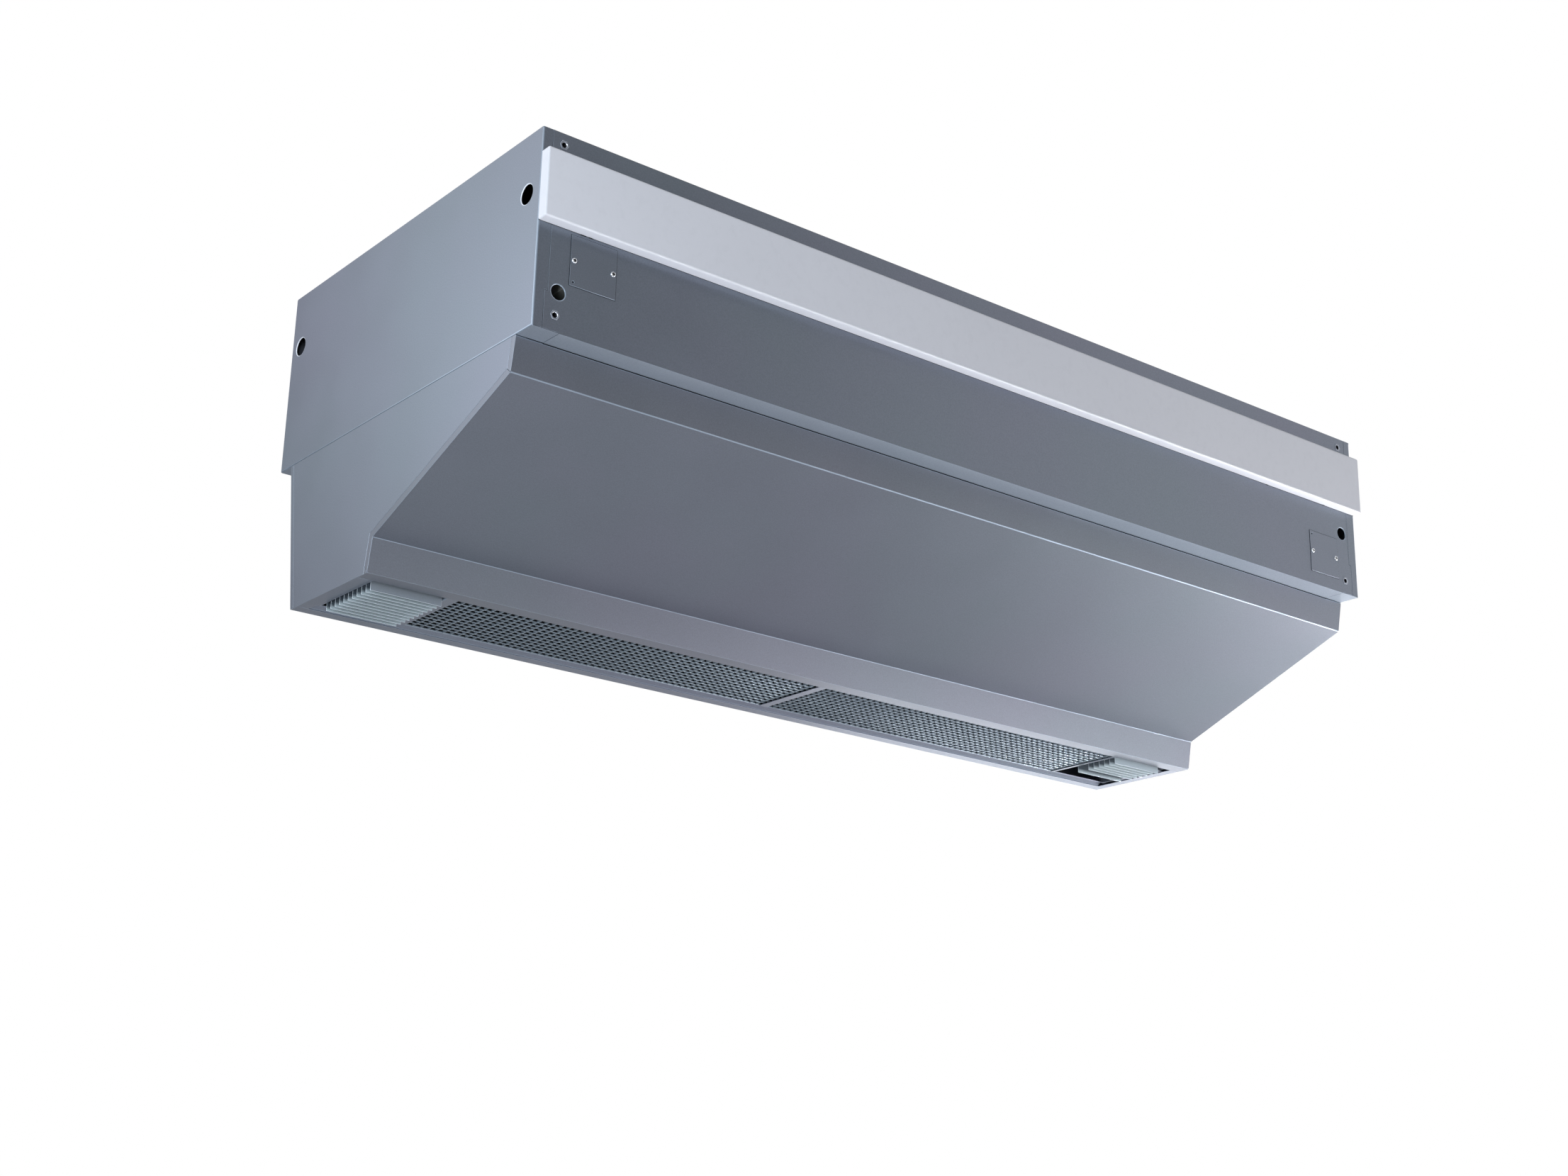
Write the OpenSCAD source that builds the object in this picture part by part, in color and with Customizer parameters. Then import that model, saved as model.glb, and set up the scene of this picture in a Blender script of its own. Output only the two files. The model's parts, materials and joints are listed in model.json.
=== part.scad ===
// Ceiling-hung air curtain. A casing with three double-inlet fans stands on a
// tapered duct, whose outlet has two egg-crate grids and a pack of tilting
// vanes at each end.
// X runs along the length, Y from the front to the back and Z up. The origin
// is the centre of the four ceiling inserts, level with the top face.

/* [Casing] */
// Length of the casing and of the duct
case_l = 2000; // [1900:10:2300]
// Depth of the casing, front face to back face
case_d = 833; // [800:1:900]
// Height of the casing
case_h = 341; // [330:1:400]
// Thickness of the steel sheet
sheet = 1.5; // [1:0.1:2]
// Width of the flanges that the end panels turn onto their neighbours
flange_w = 18; // [16:0.5:20]
// Extra width of those flanges in the middle of each edge
step_w = 6; // [2:0.5:6]
// Distance of that wider stretch from the top and the bottom
step_in = 66; // [50:1:90]
// Width of the end panels' share of the ledge under the casing
ledge_end_w = 48.5; // [40:0.5:60]
// Gap at the seam between two panels
seam = 0.4; // [0.2:0.1:0.8]

/* [Casing holes] */
// Diameter of the large holes in the end panels
side_hole_d = 34; // [20:1:40]
// Distance of the front hole from the front face
side_hole_front = 38.5; // [30:0.5:60]
// Distance of the rear hole from the back face
side_hole_back = 32.5; // [30:0.5:60]
// Depth of both holes below the top
side_hole_drop = 104.5; // [60:0.5:150]
// Diameter of the cable holes in the front panel
cable_hole_d = 25.5; // [16:0.5:26]
// Distance of the cable holes from the ends
cable_hole_in = 43.5; // [43:0.5:45]
// Height of the left cable hole above the casing's bottom
left_cable_lift = 68; // [56:1:100]
// Depth of the right cable hole below the top
right_cable_drop = 212; // [190:1:212]

/* [Threaded inserts] */
// Width of the hexagon across its flats
insert_hex_w = 13.3; // [13:0.1:15]
// How far the front inserts stand proud of the panel
insert_proud = 0.8; // [0.4:0.1:1.5]
// Diameter of the sleeve
insert_sleeve_d = 12; // [11:0.5:12.5]
// Diameter of the tapped hole
insert_hole_d = 8.5; // [6.8:0.1:9]
// Length of the sleeve behind the face
insert_l = 18; // [12:1:25]
// Distance of the front inserts from the ends
front_insert_in = 39.5; // [39:0.5:45]
// Depth of the upper front inserts below the top
front_insert_top = 20; // [15:0.5:25]
// Height of the lower front inserts above the casing's bottom
front_insert_foot = 28.5; // [20:0.5:40]
// Distance of the ceiling inserts from the ends
ceiling_insert_in = 70; // [60:1:90]
// Distance of the ceiling inserts from the front and the back face
ceiling_insert_edge = 70; // [60:1:90]

/* [Fascia] */
// Height of the white strip across the front
fascia_h = 120; // [80:1:120]
// How far it stands out from the front panel
fascia_proud = 20.5; // [10:0.5:30]
// Depth of its upper edge below the top
fascia_drop = 42.5; // [36:0.5:46]

/* [Access covers] */
// Width and height of an access cover
cover_w = 86; // [80:1:88]
// Thickness of a cover
cover_t = 1; // [0.8:0.1:1.5]
// Distance of a cover from the end of the casing
cover_in = 62; // [60:1:80]
// Depth of the left cover's upper edge below the top
left_cover_drop = 168.5; // [168:0.5:200]
// Height of the right cover's lower edge above the casing's bottom
right_cover_lift = 27; // [24:0.5:30]
// Lap of a cover round the hole that it closes
cover_lap = 13; // [11:0.5:20]
// Distance of the screws and the spare hole from the cover's edges
cover_screw_in = 6.7; // [6:0.1:8]
// Diameter of the screw heads
screw_head_d = 9.4; // [7:0.1:10]
// Height of the screw heads
screw_head_h = 2.4; // [1.5:0.1:3]
// Diameter of the screws
screw_d = 4.8; // [4:0.1:5]
// Length of the screws behind their heads
screw_l = 10; // [6:0.5:14]
// Diameter of the spare hole in a cover
spare_hole_d = 3.6; // [3:0.1:4]

/* [Duct] */
// Depth of the ledge between the casing's front and the duct
ledge_d = 44.3; // [40:0.1:60]
// Height of the lip under the ledge
lip_h = 59.5; // [50:0.5:75]
// How far the lip leans back
lip_lean = 10; // [0:0.5:15]
// Height of the long slope
slope_drop = 159.7; // [140:0.1:200]
// Run of the long slope from front to back
slope_run = 405.8; // [380:0.1:420]
// Height of the nose below the slope
nose_h = 59.5; // [50:0.5:75]
// How far the nose leans back
nose_lean = 9.9; // [0:0.1:15]
// Depth of the duct at its lower face
outlet_d = 274.4; // [270:0.1:290]
// How far the casing reaches behind the duct
overhang = 38.2; // [30:0.1:50]
// Width of the strip that the front and back panels fold onto the sides
wrap_w = 12; // [8:0.5:16]
// Width of the duct's upper flanges, where it is screwed to the casing
seat_w = 25; // [18:0.5:30]

/* [Outlet] */
// Width of the front flange under the duct
front_flange_w = 33; // [28:0.5:36]
// Width of the side flanges under the duct
side_flange_w = 22.5; // [18:0.5:24]
// Width of the back flange under the duct
back_flange_w = 27.5; // [24:0.5:30]
// Distance of the rear rail's front edge from the duct's lower back edge
rail_back = 50.4; // [46:0.2:54]
// Cell pitch of the grids
cell = 15; // [12:0.1:24]
// Thickness of the grid blades
grid_blade = 1.2; // [0.8:0.1:2]
// Depth of the grid blades
grid_h = 12; // [8:0.5:15]
// Width of the bar between the two grids
centre_bar_w = 18; // [12:0.5:30]
// Distance of the left pack's inner bracket from the left end
left_pack_in = 172; // [160:1:190]
// Width of the flat bar of that bracket
left_bar_w = 23; // [12:0.5:30]
// Distance of the right pack's inner bracket from the right end
right_pack_in = 188; // [180:1:200]
// Width of the flat bar of that bracket
right_bar_w = 9; // [8:0.5:20]
// Distance of the left pack's outer bracket from the left end
left_outer_in = 33; // [30:0.5:36]
// Distance of the right pack's outer bracket from the right end
right_outer_in = 35.5; // [32:0.5:38]

/* [Vanes] */
// Distance of the first vane from the duct's nose
vane_in = 48.8; // [46:0.1:52]
// Distance from one vane to the next
vane_pitch = 15.4; // [15.2:0.1:15.8]
// Height of a vane
vane_h = 34; // [32:0.5:38]
// Thickness of a vane
vane_t = 1.2; // [0.8:0.1:1.4]
// Length of a vane
vane_l = 135.5; // [120:0.5:137]
// How far the left pack's vanes hang below the outlet face
left_vane_drop = 11; // [6:0.5:11]
// How far the right pack's vanes hang below the outlet face
right_vane_drop = 8.5; // [6:0.5:11]
// Height of the pivots above the outlet face
pivot_h = 15; // [13:0.5:15]
// Diameter of the pivot pins
pivot_d = 4; // [3:0.1:5]
// Running clearance round a pin
pivot_gap = 0.05; // [0.02:0.01:0.1]
// Gap between the left pack's vanes and their outer bracket
left_vane_gap = 0.5; // [0.3:0.1:1]
// Gap between the right pack's vanes and their outer bracket
right_vane_gap = 7; // [3:0.5:10]

/* [Fans] */
// Distance from one fan to the next
fan_pitch = 620; // [600:5:660]
// Distance of the fan axes behind the casing's front face
fan_axis_in = 400; // [380:1:430]
// Gap between the scroll and the fan deck
scroll_lift = 14; // [5:0.5:20]
// Gap between the scroll and the air filter above it
scroll_gap = 11.5; // [5:0.5:20]
// Width of a scroll housing
scroll_w = 200; // [190:1:240]
// Distance of the outlet neck's front wall behind the fan axis
neck_in = 30; // [10:1:40]
// Room between the fan wheel and the scroll
scroll_room = 39; // [30:1:45]
// How far the rim of an inlet hole reaches in over the wheel
inlet_in = 16; // [12:1:22]
// Radial height of the wheel's blade ring
wheel_ring = 20; // [14:1:24]
// Width of the fan wheel
wheel_w = 172; // [160:1:176]
// Number of blades round a wheel
wheel_blades = 32; // [24:1:40]
// Radius of the rotor inside the wheel
rotor_r = 50; // [40:1:60]
// Diameter of the rotor's axle
axle_d = 12; // [10:0.5:16]
// Running clearance round the axle
axle_gap = 0.05; // [0.02:0.01:0.1]

/* [Air intake] */
// Distance of the intake opening in the top from the ends
intake_end_in = 140; // [120:5:250]
// Distance of the intake opening from the front and the back face
intake_edge_in = 126.5; // [110:0.5:170]
// Width of the rim on which the grille and the filter seat
intake_rim = 15; // [10:1:18]
// Length of a slot in the grille
slot_l = 180; // [120:5:240]
// Width of a slot in the grille
slot_w = 8; // [6:0.5:10]
// Solid metal between two slots
slot_gap = 6; // [4:0.5:10]
// Depth of the filter
filter_h = 22; // [15:0.5:24]
// Pitch of the filter's pleats
pleat = 20; // [16:1:40]
// Thickness of the filter's fleece
fleece_t = 1; // [0.6:0.1:1.5]

/* [Electrics] */
// Depth of the boxes behind the access covers
box_depth = 55; // [40:1:70]
// How far a box is wider than its cover
box_margin = 3; // [1:0.5:3]
// Wall of the boxes
box_wall = 1.2; // [1:0.1:2]
// Width and height of the wiring trunk
trunk_w = 30; // [20:1:35]
// Thickness of the control board
board_t = 1.6; // [1:0.1:2]

/* [Hidden] */
FANS = [1, 2, 3];
LEFT_VANES = [1, 2, 3, 4, 5, 6, 7, 8, 9, 10, 11];
// The right pack has no vane in its slots 7, 9, 10 and 11
RIGHT_VANES = [1, 2, 3, 4, 5, 6, 8];

$fn = 48;
// Overrun of cuts past the faces that they leave
over = 1;

half_l = case_l / 2;
front_y = -case_d / 2;
back_y = case_d / 2;
panel_in = flange_w + seam;
step_panel_in = flange_w + step_w + seam;

// Corners of the duct seen from the side, each as [Y, Z], from the ledge down
// the front, along the outlet and up the back
lip_top = [front_y + ledge_d, -case_h];
lip_foot = lip_top + [lip_lean, -lip_h];
slope_foot = lip_foot + [slope_run, -slope_drop];
nose_foot = slope_foot + [nose_lean, -nose_h];
heel = nose_foot + [outlet_d, 0];
back_top = [back_y - overhang, -case_h];
duct_profile = [lip_top, lip_foot, slope_foot, nose_foot, heel, back_top];
outlet_z = heel.y;
// Upper face of the outlet's flanges
flange_top = outlet_z + sheet;
// Upper face of the bars that lie on those flanges
bar_top = flange_top + sheet;

front_insert_lift = front_insert_foot - case_h;
hex_sides = 6;
cover_cut = cover_w - 2 * cover_lap;

// Width of the relief slits and radius of the notches at the corners of the folds
slit_w = 0.8;
relief_r = 1.6;
// Lap of a panel behind its neighbour's flange
lap_w = 6;

intake_l = case_l - 2 * intake_end_in;
intake_d = case_d - 2 * intake_edge_in;
filter_l = intake_l + 2 * intake_rim;
filter_d = intake_d + 2 * intake_rim;
filter_wall = 2;
filter_top = -2 * sheet;
filter_foot = filter_top - filter_h - sheet;

deck_top = 2 * sheet - case_h;
scroll_r = (filter_foot - scroll_gap - scroll_lift - deck_top) / 2;
wheel_r = scroll_r - scroll_room;
inlet_r = wheel_r - inlet_in;
fan_y = front_y + fan_axis_in;
fan_z = deck_top + scroll_lift + scroll_r;
motor_base_t = 12;
motor_gap = 1.5;
arm_w = 12;
arm_t = 4;
arm_lap = 14;
disc_t = 2;
blade_t = 1;
blade_lean = 25;

rail_y = heel.x - rail_back;
// Grid and brackets end this far before the rail
rail_gap = 0.5;
// The rail's trough: its rise, its bend before the back flange and its seat on it
rail_rise = 4;
rail_bend = 9;
rail_seat = 15;
// How far the bars and brackets lie on the front flange
bar_seat = 12;
grid_seat = 6.5;
grid_gap = 1;
grid_lap = 5;
bracket_h = 26;
// Foot of the right pack's outer bracket, shorter than its plate
foot_in = 36;
pin_out = 1;
pin_in = 12;

function unit(v) = v / norm(v);
function left_of(v) = [-v.y, v.x];

// Point i of a line of points, moved to its left by t and mitred at the bends
function moved(p, i, t) =
    let (last = len(p) - 1,
         a = left_of(unit(p[max(i, 1)] - p[max(i, 1) - 1])),
         b = left_of(unit(p[min(i, last - 1) + 1] - p[min(i, last - 1)])))
    p[i] + (a + b) * t / (1 + a * b);

// Corner i of a closed outline whose edges move inwards, each by its own
// distance; edge i runs from corner i to the next
function inset(p, d, i) =
    let (n = len(p),
         h = (i + n - 1) % n,
         u = unit(p[i] - p[h]),
         v = unit(p[(i + 1) % n] - p[i]),
         a = p[i] + left_of(u) * d[h],
         b = p[i] + left_of(v) * d[i])
    a + u * cross(b - a, v) / cross(u, v);

// Strip between two insets of the duct's outline, from corner i to corner j
function strip(outer, inner, i, j) =
    concat([for (k = [i : j]) inset(duct_profile, outer, k)],
           [for (k = [j : -1 : i]) inset(duct_profile, inner, k)]);

// Insets of the duct's six edges: front, slope, nose, outlet, back and top
function sides(folded, plain) = [folded, folded, folded, plain, folded, plain];

// A sheet of thickness t along a line of points, on the line's left
module ribbon(p, t) {
    polygon(concat(p, [for (i = [len(p) - 1 : -1 : 0]) moved(p, i, t)]));
}

// A block from one corner to the opposite one
module span(a, b) {
    translate(a) cube(b - a);
}

// An outline in Y and Z, drawn out along X
module along_x(from, to) {
    translate([from, 0, 0]) rotate([90, 0, 90]) linear_extrude(to - from) children();
}

// A cylinder along X, Y or Z through a point
module rod_x(at, r, from, to) {
    translate([from, at.x, at.y]) rotate([0, 90, 0]) cylinder(r = r, h = to - from);
}
module rod_y(at, r, from, to) {
    translate([at.x, to, at.y]) rotate([90, 0, 0]) cylinder(r = r, h = to - from);
}
module rod_z(at, r, from, to) {
    translate([at.x, at.y, from]) cylinder(r = r, h = to - from);
}

// End panel with its four flanges, at the left end
module end_panel() {
    difference() {
        union() {
            span([-half_l, front_y, -case_h], [sheet - half_l, back_y, 0]);
            for (y = [front_y, back_y - sheet]) {
                span([-half_l, y, -case_h], [flange_w - half_l, y + sheet, 0]);
                span([-half_l, y, step_in - case_h], [flange_w + step_w - half_l, y + sheet, -step_in]);
            }
            for (z = [-case_h, -sheet]) {
                span([-half_l, front_y, z], [flange_w - half_l, back_y, z + sheet]);
            }
            span([-half_l, front_y, -case_h], [ledge_end_w - half_l, lip_top.x, sheet - case_h]);
            span([-half_l, back_top.x, -case_h], [ledge_end_w - half_l, back_y, sheet - case_h]);
        }
        for (y = [front_y + side_hole_front, back_y - side_hole_back]) {
            rod_x([y, -side_hole_drop], side_hole_d / 2, -half_l - over, sheet - half_l + over);
        }
    }
}

module left_end_panel() {
    color("LightSteelBlue") end_panel();
}

module right_end_panel() {
    color("LightSteelBlue") mirror([1, 0, 0]) end_panel();
}

// Front or rear panel at the front face, with its flanges and end laps; its
// lower corners make room for the end panels' share of the ledge
module long_panel(under) {
    foot_w = under + seat_w;
    lap_end = flange_w + step_w + lap_w;
    foot_end = ledge_end_w + seam;
    difference() {
        span([panel_in - half_l, front_y, -case_h], [half_l - panel_in, front_y + sheet, 0]);
        for (s = [-1, 1]) {
            span([s * half_l - step_panel_in, front_y - over, step_in - seam - case_h],
                 [s * half_l + step_panel_in, front_y + sheet + over, seam - step_in]);
            span([s * half_l - foot_end, front_y - over, -case_h - over],
                 [s * half_l + foot_end, front_y + sheet + over, sheet + seam - case_h]);
        }
    }
    span([panel_in - half_l, front_y, -sheet], [half_l - panel_in, front_y + flange_w, 0]);
    span([foot_end - half_l, front_y, -case_h], [half_l - foot_end, front_y + foot_w, sheet - case_h]);
    for (s = [0, 1]) {
        mirror([s, 0, 0]) span([sheet - half_l, front_y + sheet, deck_top],
                               [lap_end - half_l, front_y + 2 * sheet, -2 * sheet]);
    }
}

// Middle of an access cover, as [X, Z]
left_cover = [cover_in + cover_w / 2 - half_l, -left_cover_drop - cover_w / 2];
right_cover = [half_l - cover_in - cover_w / 2, right_cover_lift + cover_w / 2 - case_h];
cover_screw_x = cover_w / 2 - cover_screw_in;
front_insert_x = half_l - front_insert_in;

module front_panel() {
    color("SlateGray") difference() {
        long_panel(ledge_d);
        for (x = [-front_insert_x, front_insert_x], z = [-front_insert_top, front_insert_lift]) {
            rod_y([x, z], insert_sleeve_d / 2, front_y - over, front_y + sheet + over);
        }
        rod_y([cable_hole_in - half_l, left_cable_lift - case_h], cable_hole_d / 2,
              front_y - over, front_y + sheet + over);
        rod_y([half_l - cable_hole_in, -right_cable_drop], cable_hole_d / 2,
              front_y - over, front_y + sheet + over);
        for (c = [left_cover, right_cover]) {
            span([c.x - cover_cut / 2, front_y - over, c.y - cover_cut / 2],
                 [c.x + cover_cut / 2, front_y + sheet + over, c.y + cover_cut / 2]);
            for (x = [-cover_screw_x, cover_screw_x]) {
                rod_y([c.x + x, c.y], screw_d / 2, front_y - over, front_y + sheet + over);
            }
        }
    }
}

module rear_panel() {
    color("SlateGray") mirror([0, 1, 0]) long_panel(overhang);
}

// Place of each ceiling insert
ceiling_x = half_l - ceiling_insert_in;
ceiling_y = back_y - ceiling_insert_edge;

module top_panel() {
    color("SlateGray") difference() {
        span([sheet - half_l, front_y + sheet, -2 * sheet], [half_l - sheet, back_y - sheet, -sheet]);
        span([-intake_l / 2, -intake_d / 2, -2 * sheet - over], [intake_l / 2, intake_d / 2, over]);
        for (x = [-ceiling_x, ceiling_x], y = [-ceiling_y, ceiling_y]) {
            rod_z([x, y], insert_sleeve_d / 2, -2 * sheet - over, over);
        }
    }
}

// Slotted plate over the intake opening
module intake_grille() {
    columns = floor(intake_l / (slot_l + slot_gap));
    rows = floor(intake_d / (slot_w + slot_gap));
    pitch_x = intake_l / columns;
    pitch_y = intake_d / rows;
    color("DimGray") translate([0, 0, -sheet]) linear_extrude(sheet) difference() {
        square([intake_l + 2 * intake_rim, intake_d + 2 * intake_rim], center = true);
        for (i = [0 : columns - 1], j = [0 : rows - 1]) {
            translate([(i + 0.5) * pitch_x - intake_l / 2, (j + 0.5) * pitch_y - intake_d / 2])
                square([slot_l, slot_w], center = true);
        }
    }
}

// Frame of the filter, hung under the top panel round the opening
module filter_frame() {
    lip = intake_rim;
    color("Silver") difference() {
        span([-filter_l / 2, -filter_d / 2, filter_foot], [filter_l / 2, filter_d / 2, filter_top]);
        span([filter_wall - filter_l / 2, filter_wall - filter_d / 2, filter_top - filter_h],
             [filter_l / 2 - filter_wall, filter_d / 2 - filter_wall, filter_top + over]);
        span([lip - filter_l / 2, lip - filter_d / 2, filter_foot - over],
             [filter_l / 2 - lip, filter_d / 2 - lip, filter_top]);
    }
}

// Pleated fleece inside the frame
module filter_media() {
    inner_l = filter_l - 2 * filter_wall - 2 * fleece_t;
    count = 2 * floor(inner_l / pleat);
    rise = filter_h - 3 * fleece_t;
    points = [for (i = [0 : count]) [i * inner_l / count - inner_l / 2, (i % 2) * rise]];
    color("WhiteSmoke") translate([0, filter_d / 2 - filter_wall, filter_top - filter_h])
        rotate([90, 0, 0]) linear_extrude(filter_d - 2 * filter_wall) ribbon(points, fleece_t);
}

// White strip: a shallow tray, open towards the front panel
module fascia_strip() {
    top = -fascia_drop;
    foot = -fascia_drop - fascia_h;
    color("WhiteSmoke") difference() {
        span([-half_l, front_y - fascia_proud, foot], [half_l, front_y, top]);
        span([sheet - half_l, front_y - fascia_proud + sheet, foot + sheet],
             [half_l - sheet, front_y + over, top - sheet]);
    }
}

// Cover plate round its middle, with two screw holes and a spare hole in a
// corner; up is 1 for a spare hole at the top and -1 at the bottom
module access_cover(c, up) {
    spare = c + [-cover_screw_x, up * cover_screw_x];
    difference() {
        span([c.x - cover_w / 2, front_y - cover_t, c.y - cover_w / 2],
             [c.x + cover_w / 2, front_y, c.y + cover_w / 2]);
        for (x = [-cover_screw_x, cover_screw_x]) {
            rod_y([c.x + x, c.y], screw_d / 2, front_y - cover_t - over, front_y + over);
        }
        rod_y(spare, spare_hole_d / 2, front_y - cover_t - over, front_y + over);
    }
}

module left_access_cover() {
    color("LightSlateGray") access_cover(left_cover, -1);
}

module right_access_cover() {
    color("LightSlateGray") access_cover(right_cover, 1);
}

// Pan-head screw with a cross recess, at [X, Z] on a cover
module cover_screw(at) {
    face = front_y - cover_t;
    recess = screw_head_h / 2;
    arm = screw_head_d / 4;
    blade = screw_head_d / 10;
    difference() {
        union() {
            rod_y(at, screw_head_d / 2, face - screw_head_h, face);
            rod_y(at, screw_d / 2, face - recess, face + screw_l);
        }
        for (a = [0, 90]) {
            translate([at.x, face - screw_head_h, at.y]) rotate([0, a, 0])
                span([-arm, -over, -blade], [arm, recess, blade]);
        }
    }
}

module cover_screws() {
    color("Silver") for (c = [left_cover, right_cover], x = [-cover_screw_x, cover_screw_x]) {
        cover_screw([c.x + x, c.y]);
    }
}

// Rivet nut with a hexagonal head, its face at zero and its sleeve along -Z
module insert(head_t) {
    difference() {
        union() {
            translate([0, 0, -head_t])
                cylinder(d = insert_hex_w / cos(180 / hex_sides), h = head_t, $fn = hex_sides);
            translate([0, 0, -insert_l - head_t]) cylinder(d = insert_sleeve_d, h = insert_l + head_t);
        }
        translate([0, 0, -insert_l - head_t - over])
            cylinder(d = insert_hole_d, h = insert_l + head_t + 2 * over);
    }
}

module front_inserts() {
    color("Silver") for (x = [-front_insert_x, front_insert_x], z = [-front_insert_top, front_insert_lift]) {
        translate([x, front_y - insert_proud, z]) rotate([90, 0, 0]) insert(insert_proud);
    }
}

module ceiling_inserts() {
    color("Silver") for (x = [-ceiling_x, ceiling_x], y = [-ceiling_y, ceiling_y]) {
        translate([x, y, 0]) insert(sheet);
    }
}

// Open-fronted box on the back of the front panel, round a cover's middle
module electric_box(c) {
    w = cover_w / 2 + box_margin;
    y = front_y + sheet;
    difference() {
        span([c.x - w, y, c.y - w], [c.x + w, y + box_depth, c.y + w]);
        span([c.x - w + box_wall, y - over, c.y - w + box_wall],
             [c.x + w - box_wall, y + box_depth - box_wall, c.y + w - box_wall]);
    }
}

module supply_box() {
    color("Gainsboro") electric_box(left_cover);
}

module control_box() {
    color("Gainsboro") electric_box(right_cover);
}

// Back wall of the boxes, where the terminals and the board are fixed
box_back = front_y + sheet + box_depth - box_wall;

// Heights of the barriers and of the screws as shares of the terminal block's
barrier_share = 1.3;
screw_share = 1.15;

// Row of terminals with a barrier between each pair
module supply_terminals() {
    l = cover_w * 2 / 3;
    pole = l / 6;
    rise = pole * 2;
    color("Ivory") {
        span([left_cover.x - l / 2, box_back - rise, left_cover.y - pole],
             [left_cover.x + l / 2, box_back, left_cover.y + pole]);
        for (i = [0 : 6]) {
            x = left_cover.x - l / 2 + i * pole;
            span([x - box_wall / 2, box_back - rise * barrier_share, left_cover.y - pole],
                 [x + box_wall / 2, box_back, left_cover.y + pole]);
        }
        for (i = [0 : 5]) {
            rod_y([left_cover.x - l / 2 + (i + 0.5) * pole, left_cover.y], pole / 3,
                  box_back - rise * screw_share, box_back - rise / 2);
        }
    }
}

// Places of a relay, a fuse and a plug strip on the control board: two opposite
// corners as shares of its half width, and the height as a share of a pillar's
board_part_shares = [[-0.7, 0, -0.1, 0.7, 2], [0.2, 0.1, 0.8, 0.5, 1], [-0.7, -0.7, 0.7, -0.3, 1]];
pillar_share = 0.85;

// Circuit board on four pillars, with its larger parts
module control_board() {
    w = cover_w * 2 / 5;
    pillar = cover_w / 10;
    face = box_back - pillar - board_t;
    c = right_cover;
    color("SeaGreen") {
        span([c.x - w, face, c.y - w], [c.x + w, face + board_t, c.y + w]);
        for (x = [-pillar_share, pillar_share], z = [-pillar_share, pillar_share]) {
            rod_y([c.x + x * w, c.y + z * w], pillar / 3, face, box_back);
        }
        for (p = board_part_shares) {
            span([c.x + p[0] * w, face - p[4] * pillar, c.y + p[1] * w],
                 [c.x + p[2] * w, face, c.y + p[3] * w]);
        }
    }
}

// Closed channel for the wires, along the inside of the front panel
module wiring_trunk() {
    end_x = half_l - ceiling_insert_in - trunk_w;
    top = -fascia_drop - trunk_w / 2;
    y = front_y + sheet;
    color("Gainsboro") difference() {
        span([-end_x, y, top - trunk_w], [end_x, y + trunk_w, top]);
        span([box_wall - end_x, y - over, box_wall + top - trunk_w],
             [end_x - box_wall, y + trunk_w - box_wall, top - box_wall]);
    }
}

// Floor of the casing, with an opening under each fan
module fan_deck() {
    color("SlateGray") difference() {
        span([sheet - half_l, front_y + sheet, sheet - case_h], [half_l - sheet, back_y - sheet, deck_top]);
        for (k = FANS) {
            x = (k - 2) * fan_pitch;
            span([x + sheet - scroll_w / 2, fan_y + neck_in + sheet, -case_h],
                 [x + scroll_w / 2 - sheet, fan_y + scroll_r - sheet, deck_top + over]);
        }
    }
}

// Side view of a scroll and its outlet neck, less a wall all round
module scroll_outline(wall, foot) {
    translate([fan_y, fan_z]) circle(r = scroll_r - wall);
    translate([fan_y + neck_in + wall, foot]) square([scroll_r - neck_in - 2 * wall, fan_z - foot]);
}

module fan_housing(k) {
    x = (k - 2) * fan_pitch;
    color("Silver") difference() {
        along_x(x - scroll_w / 2, x + scroll_w / 2) scroll_outline(0, deck_top);
        along_x(x - scroll_w / 2 + sheet, x + scroll_w / 2 - sheet) scroll_outline(sheet, deck_top - over);
        rod_x([fan_y, fan_z], inlet_r, x - scroll_w / 2 - over, x + scroll_w / 2 + over);
    }
}

// Fixed half of the motor: its base in the inlet, and three arms to the housing
module fan_motor(k) {
    x = (k - 2) * fan_pitch + scroll_w / 2;
    color("DimGray") difference() {
        union() {
            rod_x([fan_y, fan_z], rotor_r, x - motor_base_t, x);
            along_x(x, x + arm_t) translate([fan_y, fan_z]) {
                circle(r = rotor_r);
                for (a = [90, 210, 330]) {
                    rotate(a) translate([0, -arm_w / 2]) square([inlet_r + arm_lap, arm_w]);
                }
            }
        }
        rod_x([fan_y, fan_z], axle_d / 2 + axle_gap, x - motor_base_t - over, x + arm_t + over);
    }
}

// Wheel with straight blades, and the rotor and axle that carry it
module impeller(k) {
    x = (k - 2) * fan_pitch;
    rotor_end = x + scroll_w / 2 - motor_base_t - motor_gap;
    mid_r = wheel_r - wheel_ring / 2;
    chord = (wheel_ring - 2 * disc_t) / cos(blade_lean);
    color("Gainsboro") {
        along_x(x - wheel_w / 2, x + wheel_w / 2) translate([fan_y, fan_z]) {
            for (i = [0 : wheel_blades - 1]) {
                rotate(i * 360 / wheel_blades) translate([mid_r, 0]) rotate(blade_lean)
                    square([chord, blade_t], center = true);
            }
        }
        for (s = [-1, 1]) {
            along_x(x + s * (wheel_w - disc_t) / 2 - disc_t / 2, x + s * (wheel_w - disc_t) / 2 + disc_t / 2)
                translate([fan_y, fan_z]) difference() {
                    circle(r = wheel_r);
                    circle(r = wheel_r - wheel_ring);
                }
        }
        rod_x([fan_y, fan_z], wheel_r, x - disc_t / 2, x + disc_t / 2);
        rod_x([fan_y, fan_z], rotor_r, x, rotor_end);
        rod_x([fan_y, fan_z], axle_d / 2, x, x + scroll_w / 2 + arm_t);
    }
}

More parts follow.
